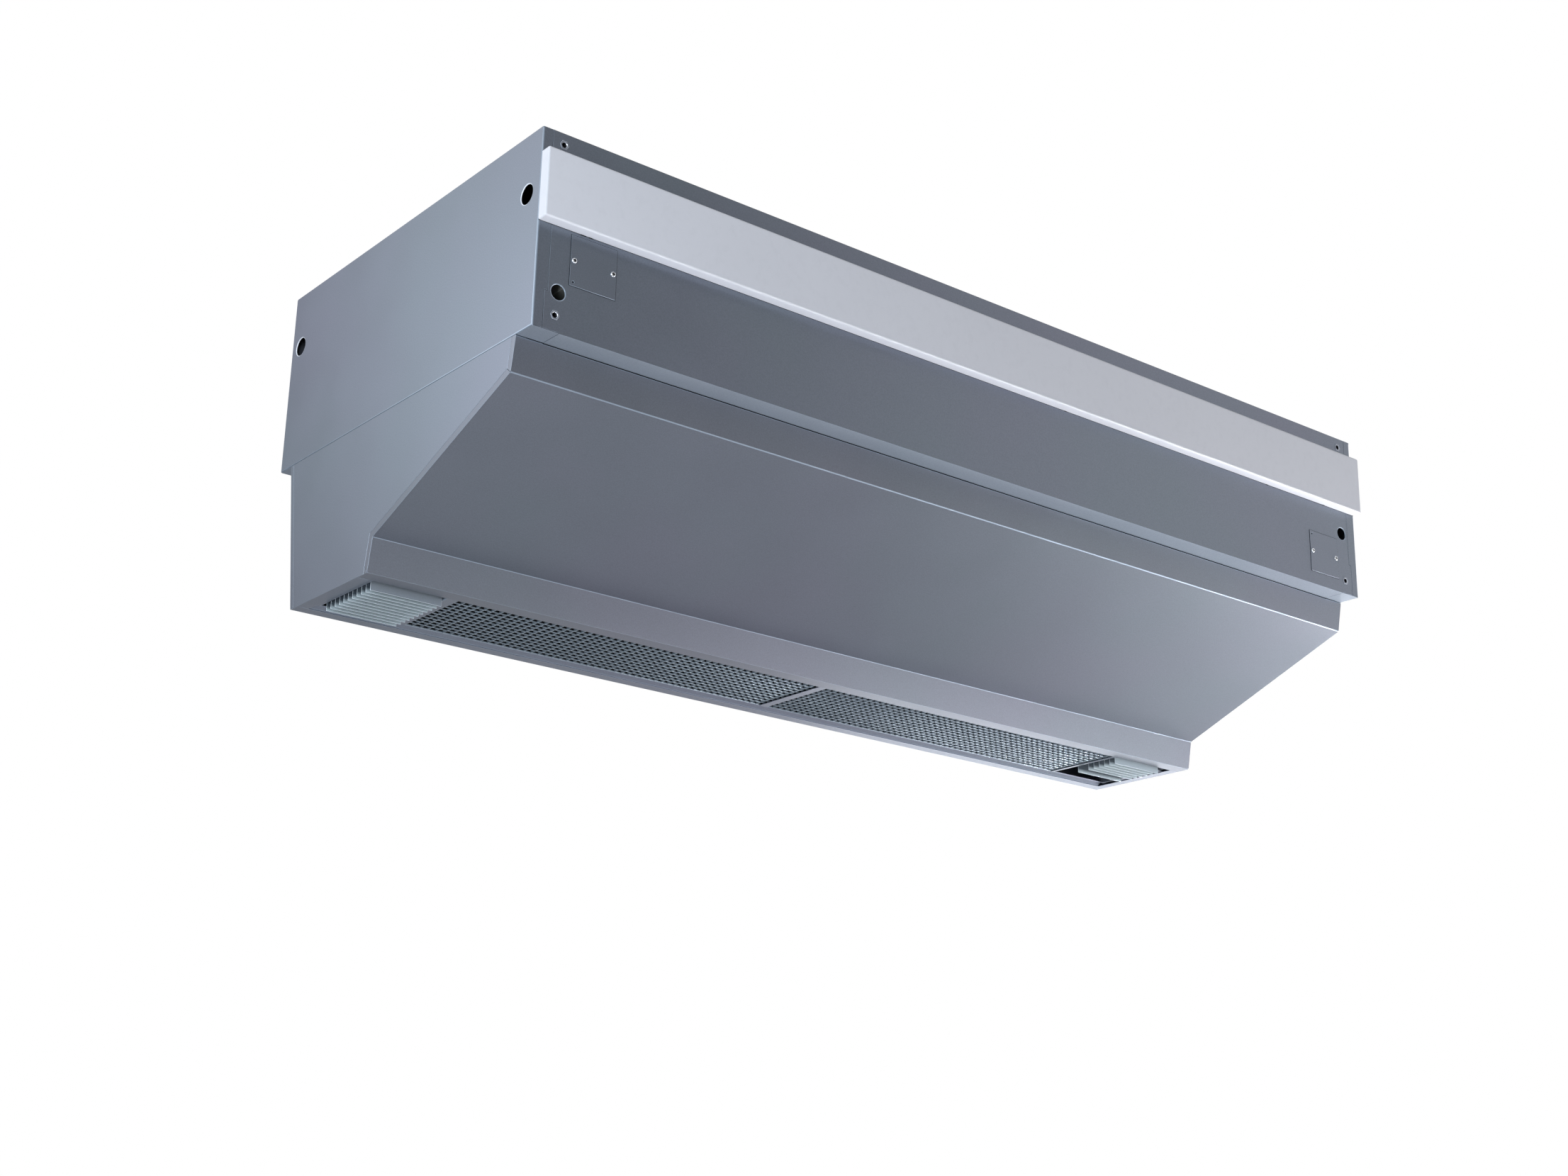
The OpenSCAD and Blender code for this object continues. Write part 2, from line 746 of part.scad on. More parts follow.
// Relief slit and notch at corner i of a folded strip
module relief(i) {
    corner = duct_profile[i];
    end = inset(duct_profile, [for (e = duct_profile) wrap_w], i);
    way = end - corner;
    translate(corner) rotate(atan2(way.y, way.x)) translate([0, -slit_w / 2])
        square([norm(way) + slit_w, slit_w]);
    translate(corner) circle(r = relief_r);
}

// Front of the duct: lip, slope, nose and flanges folded from one sheet, with a
// strip folded onto each side; the flanges lie between the sides
module duct_front_panel() {
    line = concat([lip_top + [seat_w, 0]],
                  [for (i = [0 : 3]) duct_profile[i]],
                  [nose_foot + [front_flange_w, 0]]);
    color("SlateGray") difference() {
        union() {
            along_x(-half_l, half_l) polygon(strip(sides(0, 0), sides(sheet, 0), 0, 3));
            along_x(sheet - half_l, half_l - sheet) ribbon(line, sheet);
            for (s = [0, 1]) {
                mirror([s, 0, 0]) along_x(-half_l, sheet - half_l)
                    polygon(strip(sides(0, 0), sides(wrap_w, 0), 0, 3));
            }
        }
        for (s = [0, 1], i = [1, 3]) {
            mirror([s, 0, 0]) along_x(-half_l - over, sheet - half_l) relief(i);
        }
    }
}

module duct_back_panel() {
    line = [heel - [back_flange_w, 0], heel, back_top, back_top - [seat_w, 0]];
    color("SlateGray") {
        along_x(-half_l, half_l) polygon(strip(sides(0, 0), sides(sheet, 0), 4, 5));
        along_x(sheet - half_l, half_l - sheet) ribbon(line, sheet);
        for (s = [0, 1]) {
            mirror([s, 0, 0]) along_x(-half_l, sheet - half_l)
                polygon(strip(sides(0, 0), sides(wrap_w, 0), 4, 5));
        }
    }
}

// Side of the duct, with the laps behind the folded strips and two flanges
module duct_side() {
    edge = wrap_w + seam;
    along_x(-half_l, sheet - half_l)
        polygon([for (i = [0 : 5]) inset(duct_profile, sides(edge, 0), i)]);
    along_x(sheet - half_l, 2 * sheet - half_l) {
        polygon(strip(sides(sheet, sheet), sides(edge + lap_w, sheet), 0, 3));
        polygon(strip(sides(sheet, sheet), sides(edge + lap_w, sheet), 4, 5));
    }
    span([-half_l, nose_foot.x + front_flange_w + seam, outlet_z],
         [side_flange_w - half_l, heel.x - back_flange_w - seam, flange_top]);
    span([-half_l, lip_top.x + seat_w + seam, -case_h - sheet],
         [flange_w - half_l, back_top.x - seat_w - seam, -case_h]);
}

module duct_left_side() {
    color("LightSteelBlue") duct_side();
}

module duct_right_side() {
    color("LightSteelBlue") mirror([1, 0, 0]) duct_side();
}

// Edges along X where the grids meet the bars
left_grid_x = left_pack_in + left_bar_w - grid_lap - half_l;
right_grid_x = half_l - right_pack_in - sheet - grid_gap;
grid_back = rail_y - rail_gap;
grid_front = nose_foot.x + front_flange_w - grid_seat;
bar_front = nose_foot.x + front_flange_w - bar_seat;

// Egg-crate panel: square cells in a plate as deep as the blades
module grid_panel(x0, x1) {
    columns = round((x1 - x0) / cell);
    rows = round((grid_back - grid_front) / cell);
    pitch_x = (x1 - x0 - grid_blade) / columns;
    pitch_y = (grid_back - grid_front - grid_blade) / rows;
    hole = [pitch_x - grid_blade, pitch_y - grid_blade];
    translate([x0, grid_front, bar_top]) linear_extrude(grid_h) difference() {
        square([x1 - x0, grid_back - grid_front]);
        for (i = [0 : columns - 1], j = [0 : rows - 1]) {
            translate([grid_blade + i * pitch_x, grid_blade + j * pitch_y]) square(hole);
        }
    }
}

module left_grid() {
    color("LightSlateGray") grid_panel(left_grid_x, -grid_gap / 2);
}

module right_grid() {
    color("LightSlateGray") grid_panel(grid_gap / 2, right_grid_x);
}

module centre_bar() {
    color("LightSlateGray")
        span([-centre_bar_w / 2, bar_front, flange_top], [centre_bar_w / 2, grid_back, bar_top]);
}

// Rear rail: a shallow trough between the back flange and the grids
module rear_rail() {
    end_x = half_l - side_flange_w - seam;
    seat = heel.x - back_flange_w;
    line = [[rail_y, bar_top], [seat - rail_bend, bar_top + rail_rise],
            [seat - sheet, flange_top], [seat + rail_seat, flange_top]];
    color("LightSlateGray") along_x(-end_x, end_x) ribbon(line, sheet);
}

// Height and place of the vane pivots
pivot_z = outlet_z + pivot_h;
function vane_y(k) = nose_foot.x + vane_in + (k - 1) * vane_pitch;

// Upright plate of a bracket with a bearing hole for each vane, from x to x + sheet
module bracket_plate(x) {
    difference() {
        span([x, bar_front, flange_top], [x + sheet, grid_back, flange_top + bracket_h]);
        for (k = LEFT_VANES) {
            rod_x([vane_y(k), pivot_z], pivot_d / 2 + pivot_gap, x - over, x + sheet + over);
        }
    }
}

module left_outer_bracket() {
    x = left_outer_in - half_l;
    color("SlateGray") {
        bracket_plate(x - sheet);
        span([x - side_flange_w, bar_front, flange_top], [x, grid_back, bar_top]);
    }
}

module left_inner_bracket() {
    x = left_pack_in - half_l;
    color("LightSlateGray") {
        bracket_plate(x);
        span([x, bar_front, flange_top], [x + left_bar_w, grid_back, bar_top]);
    }
}

module right_inner_bracket() {
    x = half_l - right_pack_in;
    color("LightSlateGray") {
        bracket_plate(x - sheet);
        span([x - right_bar_w, bar_front, flange_top], [x, grid_back, bar_top]);
    }
}

// Its foot stops short of both ends, which leaves a slot beside the plate there
module right_outer_bracket() {
    x = half_l - right_outer_in;
    color("SlateGray") {
        bracket_plate(x - sheet);
        span([x - sheet, bar_front + foot_in, flange_top],
             [x + side_flange_w, grid_back - foot_in, bar_top]);
    }
}

// Vane from x, which hangs from its two pins; near and far are the outer faces
// of the bracket plates that carry it
module vane(k, x, drop, near, far) {
    y = vane_y(k);
    foot = outlet_z - drop;
    color("Silver") {
        span([x, y - vane_t / 2, foot], [x + vane_l, y + vane_t / 2, foot + vane_h]);
        rod_x([y, pivot_z], pivot_d / 2, near - pin_out, x + pin_in);
        rod_x([y, pivot_z], pivot_d / 2, x + vane_l - pin_in, far + pin_out);
    }
}

module left_vane(k) {
    outer = left_outer_in - half_l;
    inner = left_pack_in - half_l;
    vane(k, outer + left_vane_gap, left_vane_drop, outer - sheet, inner + sheet);
}

module right_vane(k) {
    inner = half_l - right_pack_in;
    outer = half_l - right_outer_in;
    vane(k, outer - sheet - vane_l - right_vane_gap, right_vane_drop, inner - sheet, outer);
}

left_end_panel();
right_end_panel();
front_panel();
rear_panel();
top_panel();
intake_grille();
filter_frame();
filter_media();
fascia_strip();
left_access_cover();
right_access_cover();
cover_screws();
front_inserts();
ceiling_inserts();
supply_box();
supply_terminals();
control_box();
control_board();
wiring_trunk();
fan_deck();
duct_front_panel();
duct_back_panel();
duct_left_side();
duct_right_side();
left_grid();
right_grid();
centre_bar();
rear_rail();
left_outer_bracket();
left_inner_bracket();
right_inner_bracket();
right_outer_bracket();
for (k = FANS) {
    fan_housing(k);
    fan_motor(k);
    impeller(k);
}
for (k = LEFT_VANES) {
    left_vane(k);
}
for (k = RIGHT_VANES) {
    right_vane(k);
}
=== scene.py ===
"""Looks of a ceiling-hung air curtain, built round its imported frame."""

import json
import math

import bmesh
import bpy
from mathutils import Matrix, Vector
from mathutils.bvhtree import BVHTree


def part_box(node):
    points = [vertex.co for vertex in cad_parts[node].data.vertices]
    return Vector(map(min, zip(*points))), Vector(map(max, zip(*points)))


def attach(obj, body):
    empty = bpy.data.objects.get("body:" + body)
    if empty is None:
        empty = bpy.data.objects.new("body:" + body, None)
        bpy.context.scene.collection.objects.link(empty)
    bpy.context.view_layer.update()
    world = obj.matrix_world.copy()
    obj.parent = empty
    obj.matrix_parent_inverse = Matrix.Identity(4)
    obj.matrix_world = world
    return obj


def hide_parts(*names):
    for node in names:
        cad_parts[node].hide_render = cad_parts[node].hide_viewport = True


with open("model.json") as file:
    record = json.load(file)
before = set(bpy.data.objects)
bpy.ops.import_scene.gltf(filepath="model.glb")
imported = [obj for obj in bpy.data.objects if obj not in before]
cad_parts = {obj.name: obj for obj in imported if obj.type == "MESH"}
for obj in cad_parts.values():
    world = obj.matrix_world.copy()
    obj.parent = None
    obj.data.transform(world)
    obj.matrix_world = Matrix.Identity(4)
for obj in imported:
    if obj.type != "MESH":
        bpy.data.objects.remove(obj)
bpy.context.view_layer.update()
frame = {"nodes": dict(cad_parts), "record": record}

MM = 0.001
scene = bpy.context.scene
NODES = frame["nodes"]
BODY_OF = {n: body for body, names in frame["record"]["behaviour"]["bodies"].items() for n in names}
SLOT_OF = {s["node"]: s["material_slot"] for s in frame["record"]["subparts"]}

# Sizes of the sheet metal: its thickness, the outer radius of its folds, the
# rounding of its cut rims, and the slits at its corners
SHEET = 1.5 * MM
BEND = 2.6 * MM
FASCIA_BEND = 3.2 * MM
LEAST_BEND = 0.3 * MM
RIM = 0.25 * MM
COVER_RIM = 0.5 * MM
VANE_RIM = 0.35 * MM
SLIT = 0.5 * MM
SLIT_REACH = 60 * MM

# How the meshes are made: steps round a fold, a rim, a hole, a turned piece and
# a bead of painted shade; distances to weld points; where a probe through the
# sheet starts and how far it looks; and angles in degrees
FOLD_STEPS = 6
RIM_STEPS = 2
HOLE_STEPS = 96
LATHE_STEPS = 48
SHADE_BEAD_STEPS = 12
WELD = 0.002 * MM
WELD_DRAWN = 0.001 * MM
PROBE_IN = 0.02 * MM
PROBE_REACH = 2.2 * SHEET
FLAT_ANGLE = 0.4
FOLD_ANGLE = 15
RIM_ANGLE = 38
SHEET_SMOOTH = 50
DRAWN_SMOOTH = 35
GRID_SMOOTH = 60


# Camera, as it stood for the photograph

CAMERA_AT = (-2.59057, -3.05255, -1.74972)
CAMERA_RIGHT = (0.77958, -0.62598, 0.02008)
CAMERA_UP = (-0.20944, -0.23034, 0.95030)
CAMERA_AHEAD = (0.59025, 0.74504, 0.31067)
SENSOR_WIDTH = 36.0
LENS = 50.65


def make_camera():
    data = bpy.data.cameras.new("photo_camera")
    data.sensor_fit = "HORIZONTAL"
    data.sensor_width = SENSOR_WIDTH
    data.lens = LENS
    camera = bpy.data.objects.new("photo_camera", data)
    scene.collection.objects.link(camera)
    turn = Matrix((CAMERA_RIGHT, CAMERA_UP, -Vector(CAMERA_AHEAD))).transposed().to_quaternion()
    camera.matrix_world = Matrix.Translation(CAMERA_AT) @ turn.to_matrix().to_4x4()
    scene.camera = camera


# Materials

class Nodes:
    """Short way to add and join the nodes of one material."""

    def __init__(self, name):
        self.material = bpy.data.materials.new(name)
        self.material.use_nodes = True
        self.tree = self.material.node_tree
        self.tree.nodes.clear()
        self.shader = self.add("ShaderNodeBsdfPrincipled")
        out = self.add("ShaderNodeOutputMaterial")
        self.link(self.shader, "BSDF", out, "Surface")
        self.place = self.add("ShaderNodeTexCoord")

    def add(self, kind, **values):
        node = self.tree.nodes.new(kind)
        for key, value in values.items():
            if key in node.inputs:
                node.inputs[key].default_value = value
            else:
                setattr(node, key, value)
        return node

    def link(self, a, output, b, field):
        self.tree.links.new(a.outputs[output], b.inputs[field])

    def set(self, **values):
        for key, value in values.items():
            self.shader.inputs[key.replace("_", " ")].default_value = value

    def noise(self, scale, detail=2.0, roughness=0.5, stretch=None):
        noise = self.add("ShaderNodeTexNoise", Scale=scale, Detail=detail, Roughness=roughness)
        if stretch:
            mapping = self.add("ShaderNodeMapping", Scale=stretch)
            self.link(self.place, "Object", mapping, "Vector")
            self.link(mapping, "Vector", noise, "Vector")
        else:
            self.link(self.place, "Object", noise, "Vector")
        return noise

    def ramp(self, source, output, stops):
        ramp = self.add("ShaderNodeValToRGB")
        points = ramp.color_ramp.elements
        while len(points) < len(stops):
            points.new(0.5)
        for point, (at, colour) in zip(points, stops):
            point.position = at
            point.color = (*colour, 1.0)
        self.link(source, output, ramp, "Fac")
        return ramp

    def span(self, source, output, low, high, from_low=0.3, from_high=0.7):
        """Maps the source's values from one range to another."""
        ends = {"From Min": from_low, "From Max": from_high, "To Min": low, "To Max": high}
        span = self.add("ShaderNodeMapRange", **ends)
        self.link(source, output, span, "Value")
        return span

    def mix(self, a, b, factor, mode="MIX"):
        mix = self.add("ShaderNodeMix", data_type="RGBA", blend_type=mode)
        mix.inputs[0].default_value = factor
        self.tree.links.new(a, mix.inputs[6])
        self.tree.links.new(b, mix.inputs[7])
        return mix.outputs[2]

    def colour(self, output):
        self.tree.links.new(output, self.shader.inputs["Base Color"])

    def bump(self, source, height):
        bump = self.add("ShaderNodeBump", Strength=1.0, Distance=height)
        self.link(source, "Fac", bump, "Height")
        self.link(bump, "Normal", self.shader, "Normal")


def srgb(r, g, b):
    """Linear colour from the values that a picture shows."""
    return tuple(c / 12.92 if c <= 0.04045 else ((c + 0.055) / 1.055) ** 2.4 for c in (r, g, b))


def satin_paint(name, cool, warm, metallic, roughness, grain=1.0):
    """Fine-grained satin coat whose tone drifts slowly between two greys."""
    m = Nodes(name)
    drift = m.noise(1.6, detail=3.0)
    cloud = m.noise(9.0, detail=4.0)
    speck = m.noise(520.0, detail=2.0, roughness=0.7)
    base = m.ramp(drift, "Fac", [(0.36, cool), (0.62, warm)])
    patch = m.ramp(cloud, "Fac", [(0.3, (0.975,) * 3), (0.7, (1.0,) * 3)])
    dots = m.ramp(speck, "Fac", [(0.3, (1 - 0.16 * grain,) * 3), (0.7, (1.0,) * 3)])
    soft = m.mix(base.outputs["Color"], patch.outputs["Color"], 1.0, "MULTIPLY")
    m.colour(m.mix(soft, dots.outputs["Color"], 1.0, "MULTIPLY"))
    sheen = m.span(cloud, "Fac", roughness - 0.015, roughness + 0.015)
    m.link(sheen, "Result", m.shader, "Roughness")
    m.bump(m.noise(900.0, detail=1.0), 0.000012 * grain)
    m.set(Metallic=metallic)
    return m.material


def powder_coat(name, colour, roughness=0.5):
    """White powder coat with a faint orange peel."""
    m = Nodes(name)
    tint = m.noise(3.0, detail=3.0)
    peel = m.noise(420.0, detail=2.0)
    dust = m.noise(60.0, detail=5.0, roughness=0.65)
    base = m.ramp(tint, "Fac", [(0.3, tuple(c * 0.97 for c in colour)), (0.7, colour)])
    marks = m.ramp(dust, "Fac", [(0.25, (0.965,) * 3), (0.5, (1.0,) * 3)])
    m.colour(m.mix(base.outputs["Color"], marks.outputs["Color"], 1.0, "MULTIPLY"))
    m.link(m.span(dust, "Fac", roughness + 0.06, roughness - 0.04), "Result", m.shader, "Roughness")
    m.bump(peel, 0.00002)
    return m.material


def bare_metal(name, colour, roughness, metallic=1.0):
    """Bright metal with a fine grain and faint stains."""
    m = Nodes(name)
    grain = m.noise(700.0, detail=3.0)
    stain = m.noise(45.0, detail=4.0)
    base = m.ramp(stain, "Fac", [(0.3, tuple(c * 0.86 for c in colour)), (0.65, colour)])
    m.colour(base.outputs["Color"])
    m.link(m.span(grain, "Fac", roughness - 0.06, roughness + 0.1), "Result", m.shader, "Roughness")
    m.bump(grain, 0.000008)
    m.set(Metallic=metallic)
    return m.material


def spangled_zinc(name, colour):
    """Hot-dip zinc with its flowers."""
    m = Nodes(name)
    flowers = m.add("ShaderNodeTexVoronoi", Scale=90.0, feature="F1")
    m.link(m.place, "Object", flowers, "Vector")
    fine = m.noise(260.0, detail=4.0)
    tone = m.add("ShaderNodeSeparateColor")
    m.link(flowers, "Color", tone, "Color")
    base = m.ramp(tone, "Red", [(0.0, tuple(c * 0.72 for c in colour)), (1.0, colour)])
    m.colour(base.outputs["Color"])
    m.link(m.span(tone, "Green", 0.3, 0.5, 0.0, 1.0), "Result", m.shader, "Roughness")
    m.bump(fine, 0.00002)
    m.set(Metallic=0.9)
    return m.material


def painted_shade_metal(name, pale, dark, foot, depth, roughness=0.4, metallic=0.4):
    """Sheet, pale at the height foot and darker over depth above it: painted shade between blades."""
    m = Nodes(name)
    place = m.add("ShaderNodeSeparateXYZ")
    m.link(m.place, "Object", place, "Vector")
    # Painted shade: the colour darkens with height above the foot
    up = m.span(place, "Z", 0.0, 1.0, foot, foot + depth)
    speck = m.noise(300.0, detail=3.0)
    half = tuple((a + b) / 2 for a, b in zip(pale, dark))
    tone = m.ramp(up, "Result", [(0.0, pale), (0.3, pale), (0.62, half), (1.0, dark)])
    dust = m.ramp(speck, "Fac", [(0.3, (0.88,) * 3), (0.7, (1.0,) * 3)])
    m.colour(m.mix(tone.outputs["Color"], dust.outputs["Color"], 1.0, "MULTIPLY"))
    m.link(m.span(speck, "Fac", roughness - 0.04, roughness + 0.08), "Result", m.shader, "Roughness")
    m.bump(speck, 0.00001)
    m.set(Metallic=metallic)
    return m.material


def moulded_plastic(name, colour, roughness=0.45):
    m = Nodes(name)
    shade = m.noise(20.0, detail=3.0)
    spark = m.noise(1400.0, detail=1.0)
    base = m.ramp(shade, "Fac", [(0.3, tuple(c * 0.93 for c in colour)), (0.7, colour)])
    m.colour(base.outputs["Color"])
    m.link(m.span(shade, "Fac", roughness - 0.05, roughness + 0.08), "Result", m.shader, "Roughness")
    m.bump(spark, 0.00002)
    return m.material


def fleece(name, colour):
    """Matted fibres of the air filter."""
    m = Nodes(name)
    fibres = m.noise(900.0, detail=6.0, roughness=0.75, stretch=(1.0, 0.25, 1.0))
    dust = m.noise(14.0, detail=5.0)
    base = m.ramp(dust, "Fac", [(0.3, tuple(c * 0.8 for c in colour)), (0.7, colour)])
    web = m.ramp(fibres, "Fac", [(0.3, (0.75,) * 3), (0.7, (1.0,) * 3)])
    m.colour(m.mix(base.outputs["Color"], web.outputs["Color"], 1.0, "MULTIPLY"))
    m.set(Roughness=0.95)
    m.bump(fibres, 0.0003)
    return m.material


def circuit_board(name, colour):
    """Solder mask over a pattern of tracks."""
    m = Nodes(name)
    tracks = m.add("ShaderNodeTexBrick", Scale=130.0)
    m.link(m.place, "Object", tracks, "Vector")
    tracks.inputs["Color1"].default_value = (*colour, 1.0)
    tracks.inputs["Color2"].default_value = (*(c * 0.7 for c in colour), 1.0)
    tracks.inputs["Mortar"].default_value = (*(c * 1.8 for c in colour), 1.0)
    m.link(tracks, "Color", m.shader, "Base Color")
    m.link(m.span(m.noise(200.0), "Fac", 0.25, 0.45), "Result", m.shader, "Roughness")
    m.bump(tracks, 0.00003)
    return m.material


def shade_coat(name, colour):
    """Matt dark coat with fine pores, for pieces of painted shade."""
    m = Nodes(name)
    pores = m.noise(1500.0, detail=3.0)
    base = m.ramp(pores, "Fac", [(0.3, tuple(c * 0.6 for c in colour)), (0.7, colour)])
    m.colour(base.outputs["Color"])
    m.link(m.span(pores, "Fac", 0.85, 0.95), "Result", m.shader, "Roughness")
    m.bump(pores, 0.0001)
    m.set(Specular_IOR_Level=0.15)
    return m.material


COOL_GREY = srgb(0.498, 0.532, 0.576)
WARM_GREY = srgb(0.508, 0.524, 0.581)
# Lighter greys of the panel coat, for its painted highlights on rims
HIGHLIGHT_COOL = srgb(0.62, 0.68, 0.74)
HIGHLIGHT_WARM = srgb(0.65, 0.68, 0.75)

MATERIALS = {
    "panel_paint": satin_paint("panel_paint", COOL_GREY, WARM_GREY, 0.7, 0.4),
    "fascia_paint": powder_coat("fascia_paint", srgb(0.855, 0.86, 0.89)),
    "grid_metal": satin_paint("grid_metal", srgb(0.56, 0.62, 0.67), srgb(0.58, 0.62, 0.68),
                              0.6, 0.36, 0.6),
    "vane_steel": satin_paint("vane_steel", srgb(0.68, 0.74, 0.78), srgb(0.69, 0.74, 0.78),
                              0.3, 0.4, 0.6),
    "galvanised": spangled_zinc("galvanised", srgb(0.52, 0.54, 0.57)),
    "screw_zinc": bare_metal("screw_zinc", srgb(0.93, 0.94, 0.96), 0.2, metallic=0.85),
    "motor_black": moulded_plastic("motor_black", srgb(0.14, 0.14, 0.15), 0.5),
    "light_plastic": moulded_plastic("light_plastic", srgb(0.82, 0.82, 0.8)),
    "board_green": circuit_board("board_green", srgb(0.05, 0.36, 0.2)),
    "fleece": fleece("fleece", srgb(0.86, 0.86, 0.84)),
}
# Lighter copies of the coats for the fine rims and, below, for the round folds: painted highlights for
# the light that they catch
EDGE_HIGHLIGHT = {
    "panel_paint": satin_paint("panel_edge_highlight", HIGHLIGHT_COOL, HIGHLIGHT_WARM, 0.5, 0.3, 0.5),
    "fascia_paint": powder_coat("fascia_edge_highlight", srgb(0.93, 0.935, 0.96), 0.4),
    "grid_metal": bare_metal("grid_edge_highlight", srgb(0.75, 0.8, 0.84), 0.3),
    "vane_steel": satin_paint("vane_edge_highlight", srgb(0.85, 0.9, 0.93), srgb(0.87, 0.9, 0.94),
                              0.3, 0.3, 0.5),
}
FOLD_HIGHLIGHT = {
    "panel_paint": satin_paint("panel_fold_highlight", srgb(0.58, 0.63, 0.69), srgb(0.59, 0.63, 0.69),
                               0.6, 0.38, 0.6),
}

# Coats of single pieces and of parts of them, most of them lighter or darker copies that paint light
# and shade
# Paler copy of the panel coat for the undersides: painted light
LEDGE_PAINTED_LIGHT = satin_paint("ledge_painted_light", srgb(0.58, 0.62, 0.67), srgb(0.59, 0.62, 0.67), 0.45, 0.45)
# Near-white finish for the countersinks round the side holes: a painted highlight
RIM_HIGHLIGHT = satin_paint("rim_highlight", srgb(0.9, 0.92, 0.95), srgb(0.91, 0.92, 0.95), 0.1, 0.4, 0.3)
# Darker copy of the panel coat for the front of the duct under the ledge: painted shade
DUCT_FRONT_SHADE = satin_paint("duct_front_painted_shade", srgb(0.472, 0.5, 0.538),
                               srgb(0.482, 0.493, 0.542), 0.7, 0.4)
# Darker copy of the vane coat for the front vane of the left pack: painted shade
FRONT_VANE_SHADE = satin_paint("front_vane_painted_shade", srgb(0.55, 0.59, 0.63), srgb(0.56, 0.59, 0.63), 0.3, 0.4, 0.6)
# Near-black for bores and recesses: painted shade
BORE_SHADE = bare_metal("bore_painted_shade", srgb(0.12, 0.12, 0.13), 0.5)
NUT_STEEL = bare_metal("nut_steel", srgb(0.55, 0.57, 0.62), 0.38, metallic=0.6)
# Lighter copy of the nut's metal for its slopes and chamfers: a painted highlight
NUT_HIGHLIGHT = bare_metal("nut_highlight", srgb(0.8, 0.82, 0.86), 0.3, metallic=0.5)
# Dark grey for deep in the seams, and black for grooves and gaps: painted shade
SEAM_SHADE = shade_coat("seam_painted_shade", srgb(0.2, 0.21, 0.235))
BLACK_SHADE = shade_coat("black_painted_shade", srgb(0.06, 0.062, 0.07))


# Meshes

def settle(piece, node_names, slot, body=None):
    """Rides a finished piece on the body of the nodes that it stands for."""
    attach(piece, body or BODY_OF[node_names[0]])
    if node_names:
        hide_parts(*node_names)
    return piece


def add_object(name, mesh, slot):
    piece = bpy.data.objects.new(name, mesh)
    scene.collection.objects.link(piece)
    mesh.materials.clear()
    mesh.materials.append(MATERIALS[slot])
    # Second and third finishes: lighter copies that paint highlights on rims and folds
    mesh.materials.append(EDGE_HIGHLIGHT.get(slot, MATERIALS[slot]))
    mesh.materials.append(FOLD_HIGHLIGHT.get(slot, MATERIALS[slot]))
    return piece


def bake(piece):
    """Applies the piece's modifiers to its mesh."""
    graph = bpy.context.evaluated_depsgraph_get()
    mesh = bpy.data.meshes.new_from_object(piece.evaluated_get(graph))
    old = piece.data
    piece.modifiers.clear()
    piece.data = mesh
    bpy.data.meshes.remove(old)


def cylinder(bm, centre, axis, radius, length, segments):
    """Closed cylinder round centre, along the axis 0 for X or 1 for Y."""
    turn = Matrix.Rotation(math.pi / 2, 4, "YX"[axis])
    bmesh.ops.create_cone(bm, cap_ends=True, segments=segments, radius1=radius, radius2=radius,
                          depth=length, matrix=Matrix.Translation(centre) @ turn)


def block(bm, low, high):
    """Box between two corners."""
    low, high = Vector(low), Vector(high)
    size = high - low
    place = Matrix.Translation((low + high) / 2) @ Matrix.Diagonal((*size, 1.0))
    bmesh.ops.create_cube(bm, size=1.0, matrix=place)


def cut(piece, shapes):
    """Takes the shapes, which a function draws into a mesh, out of the piece."""
    tool = bmesh.new()
    shapes(tool)
    mesh = bpy.data.meshes.new("cutter")
    tool.to_mesh(mesh)
    tool.free()
    cutter = bpy.data.objects.new("cutter", mesh)
    scene.collection.objects.link(cutter)
    modifier = piece.modifiers.new("cut", "BOOLEAN")
    modifier.operation = "DIFFERENCE"
    modifier.solver = "EXACT"
    modifier.use_self = True
    modifier.object = cutter
    bake(piece)
    bpy.data.objects.remove(cutter)
    bpy.data.meshes.remove(mesh)


# Places of the three finishes of a piece, the second and third painted highlights
# on rims and folds, and marks while it is being made
MAIN, EDGES, FOLDS = 0, 1, 2
MAIN_FACE, RIM_FACE = 0, 1


def mark_rims(bm):
    """Marks each triangle as a face of the sheet or as part of a cut rim: a face
    of the sheet has its other face close behind it."""
    tree = BVHTree.FromBMesh(bm)
    for face in bm.faces:
        start = face.calc_center_median() - face.normal * PROBE_IN
        hit = tree.ray_cast(start, -face.normal, PROBE_REACH)
        face.material_index = MAIN_FACE if hit[0] else RIM_FACE


def round_folds(bm, bend):
    """Gives each fold the bevel weight of its bend radius."""
    weight = bm.edges.layers.float.new("bevel_weight_edge")
    least = math.radians(FOLD_ANGLE)
    for edge in bm.edges:
        faces = edge.link_faces
        if len(faces) != 2 or any(f.material_index == RIM_FACE for f in faces):
            continue
        angle = faces[0].normal.angle(faces[1].normal, 0.0)
        if angle > least:
            radius = bend if edge.is_convex else max(bend - SHEET, LEAST_BEND)
            edge[weight] = min(radius / bend * math.tan(angle / 2), 1.0)


def soften(piece, rim):
    """Rounds the sharp edges that are left, in the lighter edge finish, a painted highlight."""
    bevel = piece.modifiers.new("rim", "BEVEL")
    bevel.limit_method = "ANGLE"
    bevel.angle_limit = math.radians(RIM_ANGLE)
    bevel.width = rim
    bevel.segments = RIM_STEPS
    bevel.use_clamp_overlap = False
    bevel.material = EDGES
    normals = piece.modifiers.new("normals", "WEIGHTED_NORMAL")
    normals.keep_sharp = True
    bake(piece)


def smooth(piece, angle):
    """Shades the mesh round, but for edges sharper than the angle in degrees."""
    for face in piece.data.polygons:
        face.use_smooth = True
    piece.data.set_sharp_from_angle(angle=math.radians(angle))


def keep_inside(piece, low, high):
    """Moves back what a bevel pushed out of the CAD solid's box."""
    for vert in piece.data.vertices:
        vert.co = [min(max(vert.co[i], low[i]), high[i]) for i in range(3)]


